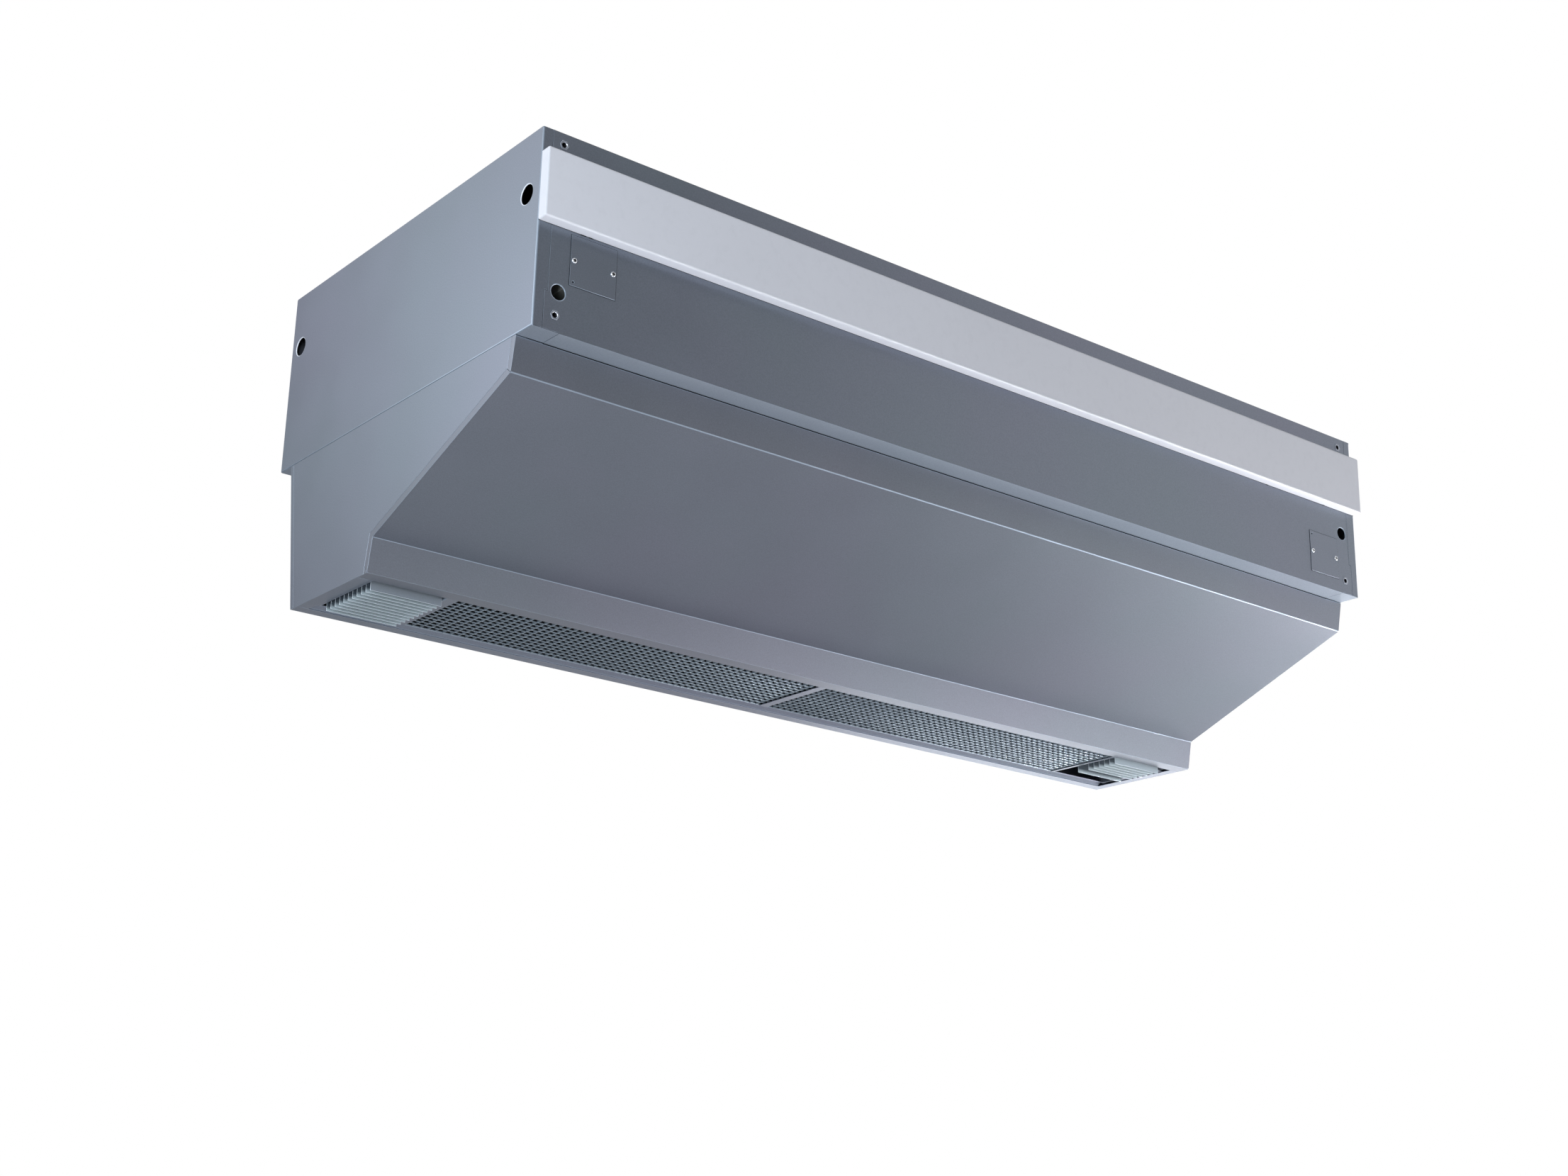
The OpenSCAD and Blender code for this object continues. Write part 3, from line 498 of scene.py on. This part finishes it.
def folded(node, bend=BEND, rim=RIM, shapes=None):
    """A sheet-metal node with round folds and softened rims, in place of the CAD solid."""
    slot = SLOT_OF[node]
    piece = add_object(node + "_sheet", NODES[node].data.copy(), slot)
    bm = bmesh.new()
    bm.from_mesh(piece.data)
    bmesh.ops.remove_doubles(bm, verts=bm.verts, dist=WELD)
    bm.to_mesh(piece.data)
    bm.free()
    if shapes:
        cut(piece, shapes)
    bm = bmesh.new()
    bm.from_mesh(piece.data)
    bmesh.ops.triangulate(bm, faces=bm.faces)
    bmesh.ops.remove_doubles(bm, verts=bm.verts, dist=WELD)
    mark_rims(bm)
    bmesh.ops.dissolve_limit(bm, angle_limit=math.radians(FLAT_ANGLE), use_dissolve_boundaries=False,
                             verts=bm.verts, edges=bm.edges, delimit={"MATERIAL"})
    if bend:
        round_folds(bm, bend)
    for face in bm.faces:
        face.material_index = MAIN
    bm.to_mesh(piece.data)
    bm.free()
    smooth(piece, SHEET_SMOOTH)
    if bend:
        fold = piece.modifiers.new("fold", "BEVEL")
        fold.limit_method = "WEIGHT"
        fold.width = bend
        fold.segments = FOLD_STEPS
        fold.use_clamp_overlap = False
        # The round folds take the lighter fold finish, a painted highlight
        fold.material = FOLDS
    soften(piece, rim)
    keep_inside(piece, *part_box(node))
    return settle(piece, [node], slot)


# Places on the casing, from the frame

left_low, left_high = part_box("left_end_panel")
HALF_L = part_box("right_end_panel")[1].x
FRONT_Y = left_low.y
BACK_Y = left_high.y
CASE_FOOT = left_low.z
FLANGE_W = 18 * MM
SIDE_HOLE_R = 17.02 * MM
CABLE_HOLE_R = 12.77 * MM
HOLE_RIM = 1.1 * MM
SINK_DEPTH = 0.6 * MM


def mount(name):
    return next(m for m in frame["record"]["mounts"] if m["name"] == name)


def hole_with_rim(bm, centre, axis, radius):
    """Hole through the middle of a panel, with a shallow countersink in its outer face."""
    way = Vector(axis)
    cylinder(bm, centre, [abs(c) for c in axis].index(1), radius, 4 * SHEET, HOLE_STEPS)
    turn = way.to_track_quat("Z", "Y").to_matrix().to_4x4()
    mouth = Vector(centre) + way * (SHEET / 2)
    place = Matrix.Translation(mouth - way * SINK_DEPTH / 2) @ turn
    bmesh.ops.create_cone(bm, cap_ends=True, segments=HOLE_STEPS, radius1=radius - HOLE_RIM,
                          radius2=radius + 2 * HOLE_RIM, depth=3 * SINK_DEPTH, matrix=place)


def paint_rim_highlight(piece, centre, axis, radius, finish):
    """Gives the countersink of a hole a lighter finish, a painted highlight, but not the flat face
    round it.
    """
    piece.data.materials.append(finish)
    way = Vector(axis)
    for face in piece.data.polygons:
        away = face.center - Vector(centre)
        reach = (away - way * away.dot(way)).length
        if radius * 0.98 < reach < radius + HOLE_RIM and abs(face.normal.dot(way)) < 0.97:
            face.material_index = len(piece.data.materials) - 1


def end_panel_cuts(side):
    """Round holes, and the slits between the flanges at the corners."""
    def draw(bm):
        for end in ("front", "rear"):
            hole = mount("%s_side_hole_%s" % (side, end))
            hole_with_rim(bm, hole["pos_m"], hole["axis"], SIDE_HOLE_R)
        s = -1 if side == "left" else 1
        inner, outer = sorted((s * (HALF_L - SLIT_REACH), s * (HALF_L - BEND)))
        for y, out in ((FRONT_Y, -1), (BACK_Y, 1)):
            y0, y1 = sorted((y + out * MM, y - out * SHEET))
            block(bm, (inner, y0, CASE_FOOT + SHEET), (outer, y1, CASE_FOOT + SHEET + SLIT))
            inside = y - out * SHEET
            y0, y1 = sorted((inside, inside - out * SLIT))
            block(bm, (inner, y0, -2 * SHEET), (outer, y1, MM))
    return draw


# Seams between the long panels and the end panels: the flanges are wider in
# the middle of their height, and the ledge has a longer end piece
STEP_W = 6 * MM
STEP_IN = 66 * MM
LEDGE_END_W = 48.5 * MM
SEAM = 0.75 * MM
SEAM_DEPTH = 0.25 * MM


def seam_boxes(face, ledge, y0, y1, z0, z1):
    """Boxes along the seams of the panel at y = face, mirrored at both ends.
    The upright ones run from y0 to y1, and the one in the ledge from z0 to z1."""
    narrow, wide = FLANGE_W, FLANGE_W + STEP_W
    low, high = CASE_FOOT + STEP_IN, -STEP_IN
    spans = [(narrow, narrow + SEAM, CASE_FOOT, low), (narrow, narrow + SEAM, high, 0),
             (wide, wide + SEAM, low - SEAM, high + SEAM),
             (narrow, wide + SEAM, low - SEAM, low), (narrow, wide + SEAM, high, high + SEAM)]
    boxes = [(a, y0, b, c, y1, d) for a, c, b, d in spans]
    boxes.append((LEDGE_END_W, min(face, ledge), z0, LEDGE_END_W + SEAM, max(face, ledge), z1))
    for a, ya, za, b, yb, zb in boxes:
        for x0, x1 in ((a - HALF_L, b - HALF_L), (HALF_L - b, HALF_L - a)):
            yield (x0, min(ya, yb), za), (x1, max(ya, yb), zb)


def panel_seams(side):
    """Arguments of seam_boxes that all boxes of one long panel share."""
    if side == "front":
        return FRONT_Y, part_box("duct_front_panel")[0].y, 1
    return BACK_Y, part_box("duct_back_panel")[1].y, -1


def seam_cuts(bm, side):
    face, ledge, inward = panel_seams(side)
    for low, high in seam_boxes(face, ledge, face - inward * MM, face + inward * SHEET,
                                CASE_FOOT - MM, CASE_FOOT + SHEET):
        block(bm, low, high)


def front_panel_cuts(bm):
    for side in ("left", "right"):
        hole = mount(side + "_cable_hole")
        hole_with_rim(bm, hole["pos_m"], hole["axis"], CABLE_HOLE_R)
    seam_cuts(bm, "front")


def rear_panel_cuts(bm):
    seam_cuts(bm, "rear")


def paint_underside_light(piece):
    """Paints the underside of a casing panel in a paler, duller copy of its coat: painted light from
    below.
    """
    piece.data.materials.append(LEDGE_PAINTED_LIGHT)
    for face in piece.data.polygons:
        if face.normal.z < -0.9 and face.center.z < CASE_FOOT + SHEET / 2:
            face.material_index = len(piece.data.materials) - 1


PLAIN_FOLDED = ["duct_back_panel", "duct_left_side", "duct_right_side",
                "rear_rail", "centre_bar", "left_outer_bracket", "left_inner_bracket",
                "right_inner_bracket", "right_outer_bracket", "top_panel"]


def make_casing():
    for side in ("left", "right"):
        piece = folded(side + "_end_panel", shapes=end_panel_cuts(side))
        for end in ("front", "rear"):
            hole = mount("%s_side_hole_%s" % (side, end))
            paint_rim_highlight(piece, hole["pos_m"], hole["axis"], SIDE_HOLE_R, RIM_HIGHLIGHT)
        paint_underside_light(piece)
    piece = folded("front_panel", shapes=front_panel_cuts)
    for side in ("left", "right"):
        hole = mount(side + "_cable_hole")
        paint_rim_highlight(piece, hole["pos_m"], hole["axis"], CABLE_HOLE_R, EDGE_HIGHLIGHT["panel_paint"])
    paint_underside_light(piece)
    paint_underside_light(folded("rear_panel", shapes=rear_panel_cuts))
    for side in ("left", "right"):
        folded(side + "_access_cover", bend=0, rim=COVER_RIM)
    for node in PLAIN_FOLDED:
        folded(node)
    # The front of the duct in its darker copy of the coat, painted shade
    folded("duct_front_panel").data.materials[MAIN] = DUCT_FRONT_SHADE
    folded("fascia_strip", bend=FASCIA_BEND)


# Painted shade on the vanes: pale at the foot and dark above it, over this height
VANE_PALE = srgb(0.7, 0.76, 0.79)
VANE_PAINTED_SHADE = srgb(0.3, 0.34, 0.38)
VANE_SHADE_FADE = 9 * MM


def make_vanes():
    """Vanes with painted shade above their feet, where one hangs behind the other, and the front vane
    of the left pack in a darker copy of the vane coat, also painted shade.
    """
    for side in ("left", "right"):
        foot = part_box(side + "_vane_1")[0].z
        shade = painted_shade_metal(side + "_vane_shade", VANE_PALE, VANE_PAINTED_SHADE, foot, VANE_SHADE_FADE, 0.42, 0.3)
        for node in NODES:
            if node.startswith(side + "_vane_"):
                piece = folded(node, bend=0, rim=VANE_RIM)
                if node != side + "_vane_1":
                    piece.data.materials[MAIN] = shade
                elif side == "left":
                    piece.data.materials[MAIN] = FRONT_VANE_SHADE


def islands(node):
    """Middle and size of each separate solid of a CAD node."""
    bm = bmesh.new()
    bm.from_mesh(NODES[node].data)
    bmesh.ops.remove_doubles(bm, verts=bm.verts, dist=WELD)
    left = set(bm.verts)
    found = []
    while left:
        reach = [left.pop()]
        points = []
        while reach:
            vert = reach.pop()
            points.append(vert.co.copy())
            for edge in vert.link_edges:
                other = edge.other_vert(vert)
                if other in left:
                    left.remove(other)
                    reach.append(other)
        low = Vector([min(p[i] for p in points) for i in range(3)])
        high = Vector([max(p[i] for p in points) for i in range(3)])
        found.append(((low + high) / 2, high - low))
    bm.free()
    return found


def lathe(bm, place, profile):
    """Turns a closed outline round the Z axis of place. Each point is a radius
    and a height, and a third value of 1 makes a hexagon of that half width."""
    rings = []
    for i in range(LATHE_STEPS):
        a = 2 * math.pi * i / LATHE_STEPS
        hexagon = 1 / math.cos(a % (math.pi / 3) - math.pi / 6)
        ring = []
        for point in profile:
            r = point[0] * (hexagon if len(point) == 3 else 1)
            ring.append(bm.verts.new(place @ Vector((r * math.cos(a), r * math.sin(a), point[1]))))
        rings.append(ring)
    for i, ring in enumerate(rings):
        after = rings[(i + 1) % LATHE_STEPS]
        for j in range(len(profile)):
            k = (j + 1) % len(profile)
            bm.faces.new((ring[j], after[j], after[k], ring[k]))


def drawn(name, slot, draw, nodes=()):
    """A piece of the casing that a function draws, maybe in place of CAD nodes."""
    bm = bmesh.new()
    draw(bm)
    bmesh.ops.remove_doubles(bm, verts=bm.verts, dist=WELD_DRAWN)
    bmesh.ops.recalc_face_normals(bm, faces=bm.faces)
    mesh = bpy.data.meshes.new(name)
    bm.to_mesh(mesh)
    bm.free()
    piece = add_object(name, mesh, slot)
    smooth(piece, DRAWN_SMOOTH)
    return settle(piece, list(nodes), slot, "casing")


# Threaded inserts: the heads of those in the front panel, half width of the
# hexagon, its chamfer, and the thread
NUT_HEAD = 0.8 * MM
HEX_R = 7.1 * MM
HEX_CHAMFER = 0.4 * MM
SLEEVE_R = 6.0 * MM
THREAD_R = 4.4 * MM
THREAD_DEPTH = 0.45 * MM
THREAD_PITCH = 1.25 * MM
SINK = 0.9 * MM


def insert_outline(head, length):
    """Half section of an insert, its face at zero and its sleeve below."""
    outline = [(THREAD_R + SINK, 0), (HEX_R - HEX_CHAMFER, 0, 1), (HEX_R, -HEX_CHAMFER / 2, 1),
               (HEX_R, -head, 1), (SLEEVE_R, -head), (SLEEVE_R, -length), (THREAD_R, -length)]
    turns = int((length - 2 * SINK) / THREAD_PITCH)
    for i in range(turns):
        foot = -length + SINK + i * THREAD_PITCH
        outline += [(THREAD_R, foot), (THREAD_R - THREAD_DEPTH, foot + THREAD_PITCH / 2)]
    return outline + [(THREAD_R, -SINK)]


def make_inserts(node, axis, turn, head):
    """Hexagonal rivet nuts in place of a CAD node; turn stands them on their panel."""
    def draw(bm):
        for middle, size in islands(node):
            length = size[axis]
            face = middle.copy()
            face[axis] += length / 2 * (-1 if axis == 1 else 1)
            lathe(bm, Matrix.Translation(face) @ turn, insert_outline(head, length))

    piece = drawn(node + "_threaded", SLOT_OF[node], draw, [node])
    flat, bore, slope = range(3)
    # Bores in painted shade, and slopes and chamfers in a painted highlight
    for i, finish in ((flat, NUT_STEEL), (bore, BORE_SHADE), (slope, NUT_HIGHLIGHT)):
        piece.data.materials[i] = finish
    spots = [middle for middle, size in islands(node)]
    for face in piece.data.polygons:
        away = min((face.center - middle for middle in spots), key=lambda v: v.length)
        away[axis] = 0.0
        if away.length < THREAD_R:
            face.material_index = bore
        elif abs(face.normal[axis]) < 0.95:
            face.material_index = slope


# Pan heads of the screws, and the cross recess with its reach as a share of
# the width of the head
SCREW_HEAD = 2.4 * MM
DOME_WIDTH = 1.6 * MM
DOME_HEIGHT = 1.6 * DOME_WIDTH
DOME_STEPS = 6
RECESS_W = 1.5 * MM
RECESS_REACH = 0.3
RECESS_DEPTH = 1.5 * MM


def make_screws():
    """Pan heads with a cross recess, in place of the plain ones."""
    spots = islands("cover_screws")

    def head_place(middle, size):
        face = middle - Vector((0, size.y / 2, 0))
        return Matrix.Translation(face) @ Matrix.Rotation(math.pi / 2, 4, "X")

    def draw(bm):
        for middle, size in spots:
            r = size.x / 2
            arc = [(r - DOME_WIDTH * (1 - math.sin(a)), -DOME_HEIGHT * (1 - math.cos(a)))
                   for a in (math.pi / 2 / DOME_STEPS * i for i in range(DOME_STEPS + 1))]
            shank = [(r, -SCREW_HEAD), (r / 2, -SCREW_HEAD), (r / 2, -size.y), (0, -size.y)]
            lathe(bm, head_place(middle, size), [(0, 0)] + arc + shank)

    def recess(bm):
        for middle, size in spots:
            y = middle.y - size.y / 2
            arm = size.x * RECESS_REACH
            for a, b in ((arm, RECESS_W / 2), (RECESS_W / 2, arm)):
                block(bm, (middle.x - a, y - MM, middle.z - b),
                      (middle.x + a, y + RECESS_DEPTH, middle.z + b))

    piece = drawn("cover_screws_pan", "screw_zinc", draw, ["cover_screws"])
    cut(piece, recess)
    smooth(piece, DRAWN_SMOOTH)
    # The cross recess takes the near-black bore finish, painted shade
    piece.data.materials[EDGES] = BORE_SHADE
    screw = spots[0][1]
    for face in piece.data.polygons:
        away = min((face.center - middle for middle, size in spots), key=lambda v: v.length)
        depth = away.y + screw.y / 2
        reach = max(abs(away.x), abs(away.z))
        if 0.1 * MM < depth < RECESS_DEPTH + 0.5 * MM and reach < screw.x * (RECESS_REACH + 0.01):
            face.material_index = EDGES


# Egg-crate grids: long blades, let into the cross blades a little higher
CELL = 15.43 * MM
BLADE = 1.2 * MM
BLADE_RIM = 0.2 * MM
LONG_RECESS = 0.5 * MM
# Painted shade in the cells: pale at the foot of the blades and dark higher up, over these heights
GRID_PALE = srgb(0.56, 0.61, 0.66)
GRID_PAINTED_SHADE = srgb(0.03, 0.035, 0.04)
LONG_SHADE_FADE = 3 * MM
CROSS_SHADE_FADE = 8 * MM


def make_grid(node, start):
    """Grid whose first whole cell begins at x = start."""
    low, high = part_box(node)
    rows = round((high.y - low.y) / CELL)
    feet = [low.x, high.x - BLADE]
    x = start
    while x < high.x - 2 * BLADE:
        feet.append(x)
        x += CELL
    mesh = bpy.data.meshes.new(node + "_blades")
    bm = bmesh.new()
    for j in range(rows + 1):
        y = low.y + (high.y - low.y - BLADE) * j / rows
        foot = low.z if j in (0, rows) else low.z + LONG_RECESS
        block(bm, (low.x, y, foot), (high.x, y + BLADE, high.z))
    for x in feet:
        block(bm, (x, low.y, low.z), (x + BLADE, high.y, high.z - LONG_RECESS))
    # Side faces of the long and cross blades take painted shade, and faces up and down the lighter edge
    # finish, a painted highlight
    for face in bm.faces:
        x, y, z = (abs(c) > 0.5 for c in face.normal)
        face.material_index = (y, z, x).index(True)
    bm.to_mesh(mesh)
    bm.free()
    piece = bpy.data.objects.new(node + "_blades", mesh)
    scene.collection.objects.link(piece)
    slot = SLOT_OF[node]
    mesh.materials.append(painted_shade_metal(node + "_long", GRID_PALE, GRID_PAINTED_SHADE, low.z, LONG_SHADE_FADE))
    mesh.materials.append(EDGE_HIGHLIGHT[slot])
    mesh.materials.append(painted_shade_metal(node + "_cross", GRID_PALE, GRID_PAINTED_SHADE, low.z, CROSS_SHADE_FADE))
    bevel = piece.modifiers.new("rim", "BEVEL")
    bevel.width = BLADE_RIM
    bevel.segments = RIM_STEPS
    bevel.limit_method = "ANGLE"
    # The rounded rims also take the painted highlight
    bevel.material = EDGES
    bake(piece)
    smooth(piece, GRID_SMOOTH)
    settle(piece, [node], slot)


# Black beads of painted shade in the groove between the casing and the duct: a
# thick one under the long ledge, and a finer one round the ends, where it is shorter
# than the duct is deep; and the black painted shadow round the covers
GROOVE_SHADE_R = 0.95 * MM
END_GROOVE_SHADE_R = 0.4 * MM
END_GROOVE_SHADE_SHORT = 24 * MM
COVER_SHADOW_OUT = 0.6 * MM
COVER_SHADOW_T = 0.5 * MM


def shade_piece(name, draw, finish=BLACK_SHADE):
    """A drawn piece with one dark finish all over, for painted shade."""
    piece = drawn(name, "motor_black", draw)
    for i in range(len(piece.data.materials)):
        piece.data.materials[i] = finish


def make_seam_and_cover_shade():
    """Dark painted shade deep in the seams, and black painted shadow round the access covers."""
    def draw_seam_shade(bm):
        for side in ("front", "rear"):
            face, ledge, inward = panel_seams(side)
            for low, high in seam_boxes(face, ledge, face + inward * SEAM_DEPTH, face + inward * SHEET,
                                        CASE_FOOT + SEAM_DEPTH, CASE_FOOT + SHEET):
                block(bm, low, high)

    def draw_cover_shadows(bm):
        for side in ("left", "right"):
            low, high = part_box(side + "_access_cover")
            out = Vector((COVER_SHADOW_OUT, 0, COVER_SHADOW_OUT))
            block(bm, Vector((low.x, FRONT_Y - COVER_SHADOW_T, low.z)) - out,
                  Vector((high.x, FRONT_Y, high.z)) + out)

    shade_piece("seam_shade_strips", draw_seam_shade, SEAM_SHADE)
    shade_piece("cover_shadows", draw_cover_shadows)


# Clips whose tips show under the white strip, each as its distance from the
# left end and its width
FASCIA_CLIPS = [(83 * MM, 10 * MM), (97 * MM, 8 * MM), (1152 * MM, 7 * MM), (1724 * MM, 7 * MM),
                (1902 * MM, 7 * MM)]
CLIP_T = 1.0 * MM
STRIP_SHADOW = 0.5 * MM


def make_clip_tips_and_shadow():
    """Tips of the clips, drawn black as their painted shadow, and a black strip of painted shadow along
    the foot of the white strip.
    """
    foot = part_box("fascia_strip")[0].z

    def draw(bm):
        for along, width in FASCIA_CLIPS:
            x = along - HALF_L
            block(bm, (x - width / 2, FRONT_Y - CLIP_T, foot - CLIP_T),
                  (x + width / 2, FRONT_Y, foot + CLIP_T))
        # Black strip of painted shadow along the foot of the white strip
        block(bm, (-HALF_L + STRIP_SHADOW, FRONT_Y - STRIP_SHADOW, foot - STRIP_SHADOW),
              (HALF_L - STRIP_SHADOW, FRONT_Y, foot + STRIP_SHADOW))

    shade_piece("fascia_clip_shadows", draw)


# Black beads in the groove between casing and duct: painted shade
def make_groove_shade():
    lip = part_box("duct_front_panel")[0].y
    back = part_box("duct_back_panel")[1].y
    ledge = HALF_L - LEDGE_END_W
    end = HALF_L - END_GROOVE_SHADE_R

    def draw(bm):
        for y in (lip + GROOVE_SHADE_R, back - GROOVE_SHADE_R):
            cylinder(bm, (0, y, CASE_FOOT - GROOVE_SHADE_R), 0, GROOVE_SHADE_R, 2 * ledge, SHADE_BEAD_STEPS)
            for x in (-1, 1):
                cylinder(bm, (x * (ledge + end) / 2, y, CASE_FOOT), 0, END_GROOVE_SHADE_R, end - ledge,
                         SHADE_BEAD_STEPS)
        for x in (-end, end):
            cylinder(bm, (x, (lip + back) / 2, CASE_FOOT), 1, END_GROOVE_SHADE_R,
                     back - lip - END_GROOVE_SHADE_SHORT, SHADE_BEAD_STEPS)

    shade_piece("casing_groove_shade", draw)


def finish_inner_nodes():
    """Gives every CAD node that is still shown the finish of its slot."""
    for node, piece in NODES.items():
        if not piece.hide_render:
            piece.data.materials.clear()
            piece.data.materials.append(MATERIALS[SLOT_OF[node]])


# Stage and light

# The white floor, and the light that it gives back to the camera alone
FLOOR_Z = -5.0
FLOOR_SIZE = 80.0
FLOOR_LIFT = 0.42
WORLD_STRENGTH = 0.4
WHITE = (1.0, 1.0, 1.0, 1.0)

# Lamps: the place, the point that it faces, the size, the power, the colour
# and the spread in degrees
LAMPS = {
    "left_softbox": ((-3.1, -1.6, -0.6), (-1.0, -0.1, -0.4), (1.6, 1.6), 62, (0.86, 0.94, 1.0), 180),
    "front_softbox": ((3.2, -3.2, -1.3), (0.6, -0.4, -0.2), (1.6, 1.0), 36, (1.0, 0.99, 0.98), 180),
    "low_left_panel": ((-1.0, -0.9, -2.35), (-0.6, -0.4, -0.3), (1.6, 0.9), 14, (0.93, 0.97, 1.0), 180),
    "side_glow": ((-3.7, 2.0, 0.9), (-1.0, -0.2, -0.3), (1.6, 1.2), 28, (0.88, 0.94, 1.0), 180),
    "low_front_panel": ((2.1, -0.8, -2.35), (0.8, -0.4, -0.3), (1.6, 0.9), 10, (0.95, 0.97, 1.0), 180),
    "low_right_panel": ((3.4, 0.8, -2.2), (0.6, 0.0, -0.5), (1.6, 1.2), 5, (0.93, 0.96, 1.0), 180),
    "ledge_beam": ((3.3, -0.5, -1.4), (0.85, -0.2, -0.42), (0.5, 0.5), 11, (1.0, 0.99, 0.98), 46),
    "right_softbox": ((5.0, -3.4, -1.9), (0.8, 0.0, -0.5), (1.8, 1.0), 12, (0.95, 0.97, 1.0), 180),
    "back_panel": ((6.0, 5.0, -1.6), (0.8, 0.2, -0.6), (3.0, 1.5), 90, (0.9, 0.94, 1.0), 180),
    "floor_glow": ((3.4, 4.6, -2.4), (3.4, 4.6, 0.0), (4.0, 2.5), 11, (0.92, 0.95, 1.0), 180),
}
# Dark cards: the place, the point that it faces, the size and the tone
FLAGS = {
    "front_flag": ((-0.6, -4.4, 1.75), (-0.6, 0.0, 1.75), (6.5, 3.7), 0.03),
    "lip_flag": ((3.0, -4.3, 0.1), (3.0, 0.0, 0.1), (3.2, 1.3), 0.03),
    "back_flag": ((-3.2, 4.4, -0.9), (-3.2, 0.0, -0.9), (4.5, 2.8), 0.3),
    "side_flag": ((-2.2, 4.3, 1.6), (-2.2, 0.0, 1.6), (2.0, 2.8), 0.1),
}


def facing(at, towards):
    """Place of a lamp or card whose front looks at a point."""
    way = Vector(towards) - Vector(at)
    return Matrix.Translation(at) @ way.to_track_quat("-Z", "Y").to_matrix().to_4x4()


def flat_mesh(name, width, depth, z=0.0):
    """Level rectangle round the origin, at the height z."""
    w, d = width / 2, depth / 2
    mesh = bpy.data.meshes.new(name)
    mesh.from_pydata([(-w, -d, z), (w, -d, z), (w, d, z), (-w, d, z)], [], [(0, 1, 2, 3)])
    return mesh


def make_stage():
    mesh = flat_mesh("floor", FLOOR_SIZE, FLOOR_SIZE, FLOOR_Z)
    floor = bpy.data.objects.new("floor", mesh)
    scene.collection.objects.link(floor)
    m = Nodes("floor_white")
    m.set(Roughness=0.9, Base_Color=(0.86, 0.86, 0.87, 1.0), Emission_Color=WHITE)
    lift = m.add("ShaderNodeMath", operation="MULTIPLY")
    lift.inputs[1].default_value = FLOOR_LIFT
    m.link(m.add("ShaderNodeLightPath"), "Is Camera Ray", lift, 0)
    m.link(lift, "Value", m.shader, "Emission Strength")
    mesh.materials.append(m.material)


def area_light(name, at, towards, size, power, colour, spread):
    data = bpy.data.lights.new(name, "AREA")
    data.shape = "RECTANGLE"
    data.size, data.size_y = size
    data.energy = power
    data.color = colour
    data.spread = math.radians(spread)
    lamp = bpy.data.objects.new(name, data)
    lamp.visible_camera = False
    scene.collection.objects.link(lamp)
    lamp.matrix_world = facing(at, towards)


def flag(name, at, towards, size, tone):
    """Dark card that the camera doesn't see, which darkens what mirrors it."""
    mesh = flat_mesh(name, *size)
    card = bpy.data.objects.new(name, mesh)
    scene.collection.objects.link(card)
    m = Nodes(name)
    m.set(Roughness=1.0, Base_Color=(tone, tone, tone, 1.0), Specular_IOR_Level=0.0)
    mesh.materials.append(m.material)
    card.visible_camera = False
    card.matrix_world = facing(at, towards)


def make_light():
    world = bpy.data.worlds.new("studio")
    scene.world = world
    world.use_nodes = True
    tree = world.node_tree
    tree.nodes.clear()
    out = tree.nodes.new("ShaderNodeOutputWorld")
    mix = tree.nodes.new("ShaderNodeMixShader")
    soft = tree.nodes.new("ShaderNodeBackground")
    white = tree.nodes.new("ShaderNodeBackground")
    path = tree.nodes.new("ShaderNodeLightPath")
    seen = path.outputs["Is Camera Ray"]
    for kind in ("Is Glossy Ray", "Is Transmission Ray"):
        either = tree.nodes.new("ShaderNodeMath")
        either.operation = "MAXIMUM"
        tree.links.new(seen, either.inputs[0])
        tree.links.new(path.outputs[kind], either.inputs[1])
        seen = either.outputs[0]
    soft.inputs["Color"].default_value = (0.94, 0.96, 1.0, 1.0)
    soft.inputs["Strength"].default_value = WORLD_STRENGTH
    white.inputs["Color"].default_value = WHITE
    white.inputs["Strength"].default_value = 1.0
    tree.links.new(seen, mix.inputs[0])
    tree.links.new(soft.outputs[0], mix.inputs[1])
    tree.links.new(white.outputs[0], mix.inputs[2])
    tree.links.new(mix.outputs[0], out.inputs[0])

    for name, values in LAMPS.items():
        area_light(name, *values)
    for name, values in FLAGS.items():
        flag(name, *values)
    scene.view_settings.view_transform = "Standard"


make_camera()
make_casing()
make_vanes()
make_screws()
make_inserts("front_inserts", 1, Matrix.Rotation(math.pi / 2, 4, "X"), NUT_HEAD)
make_inserts("ceiling_inserts", 2, Matrix(), SHEET)
make_grid("left_grid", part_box("left_inner_bracket")[1].x)
make_grid("right_grid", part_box("centre_bar")[1].x)
make_groove_shade()
make_seam_and_cover_shade()
make_clip_tips_and_shadow()
finish_inner_nodes()
make_stage()
make_light()
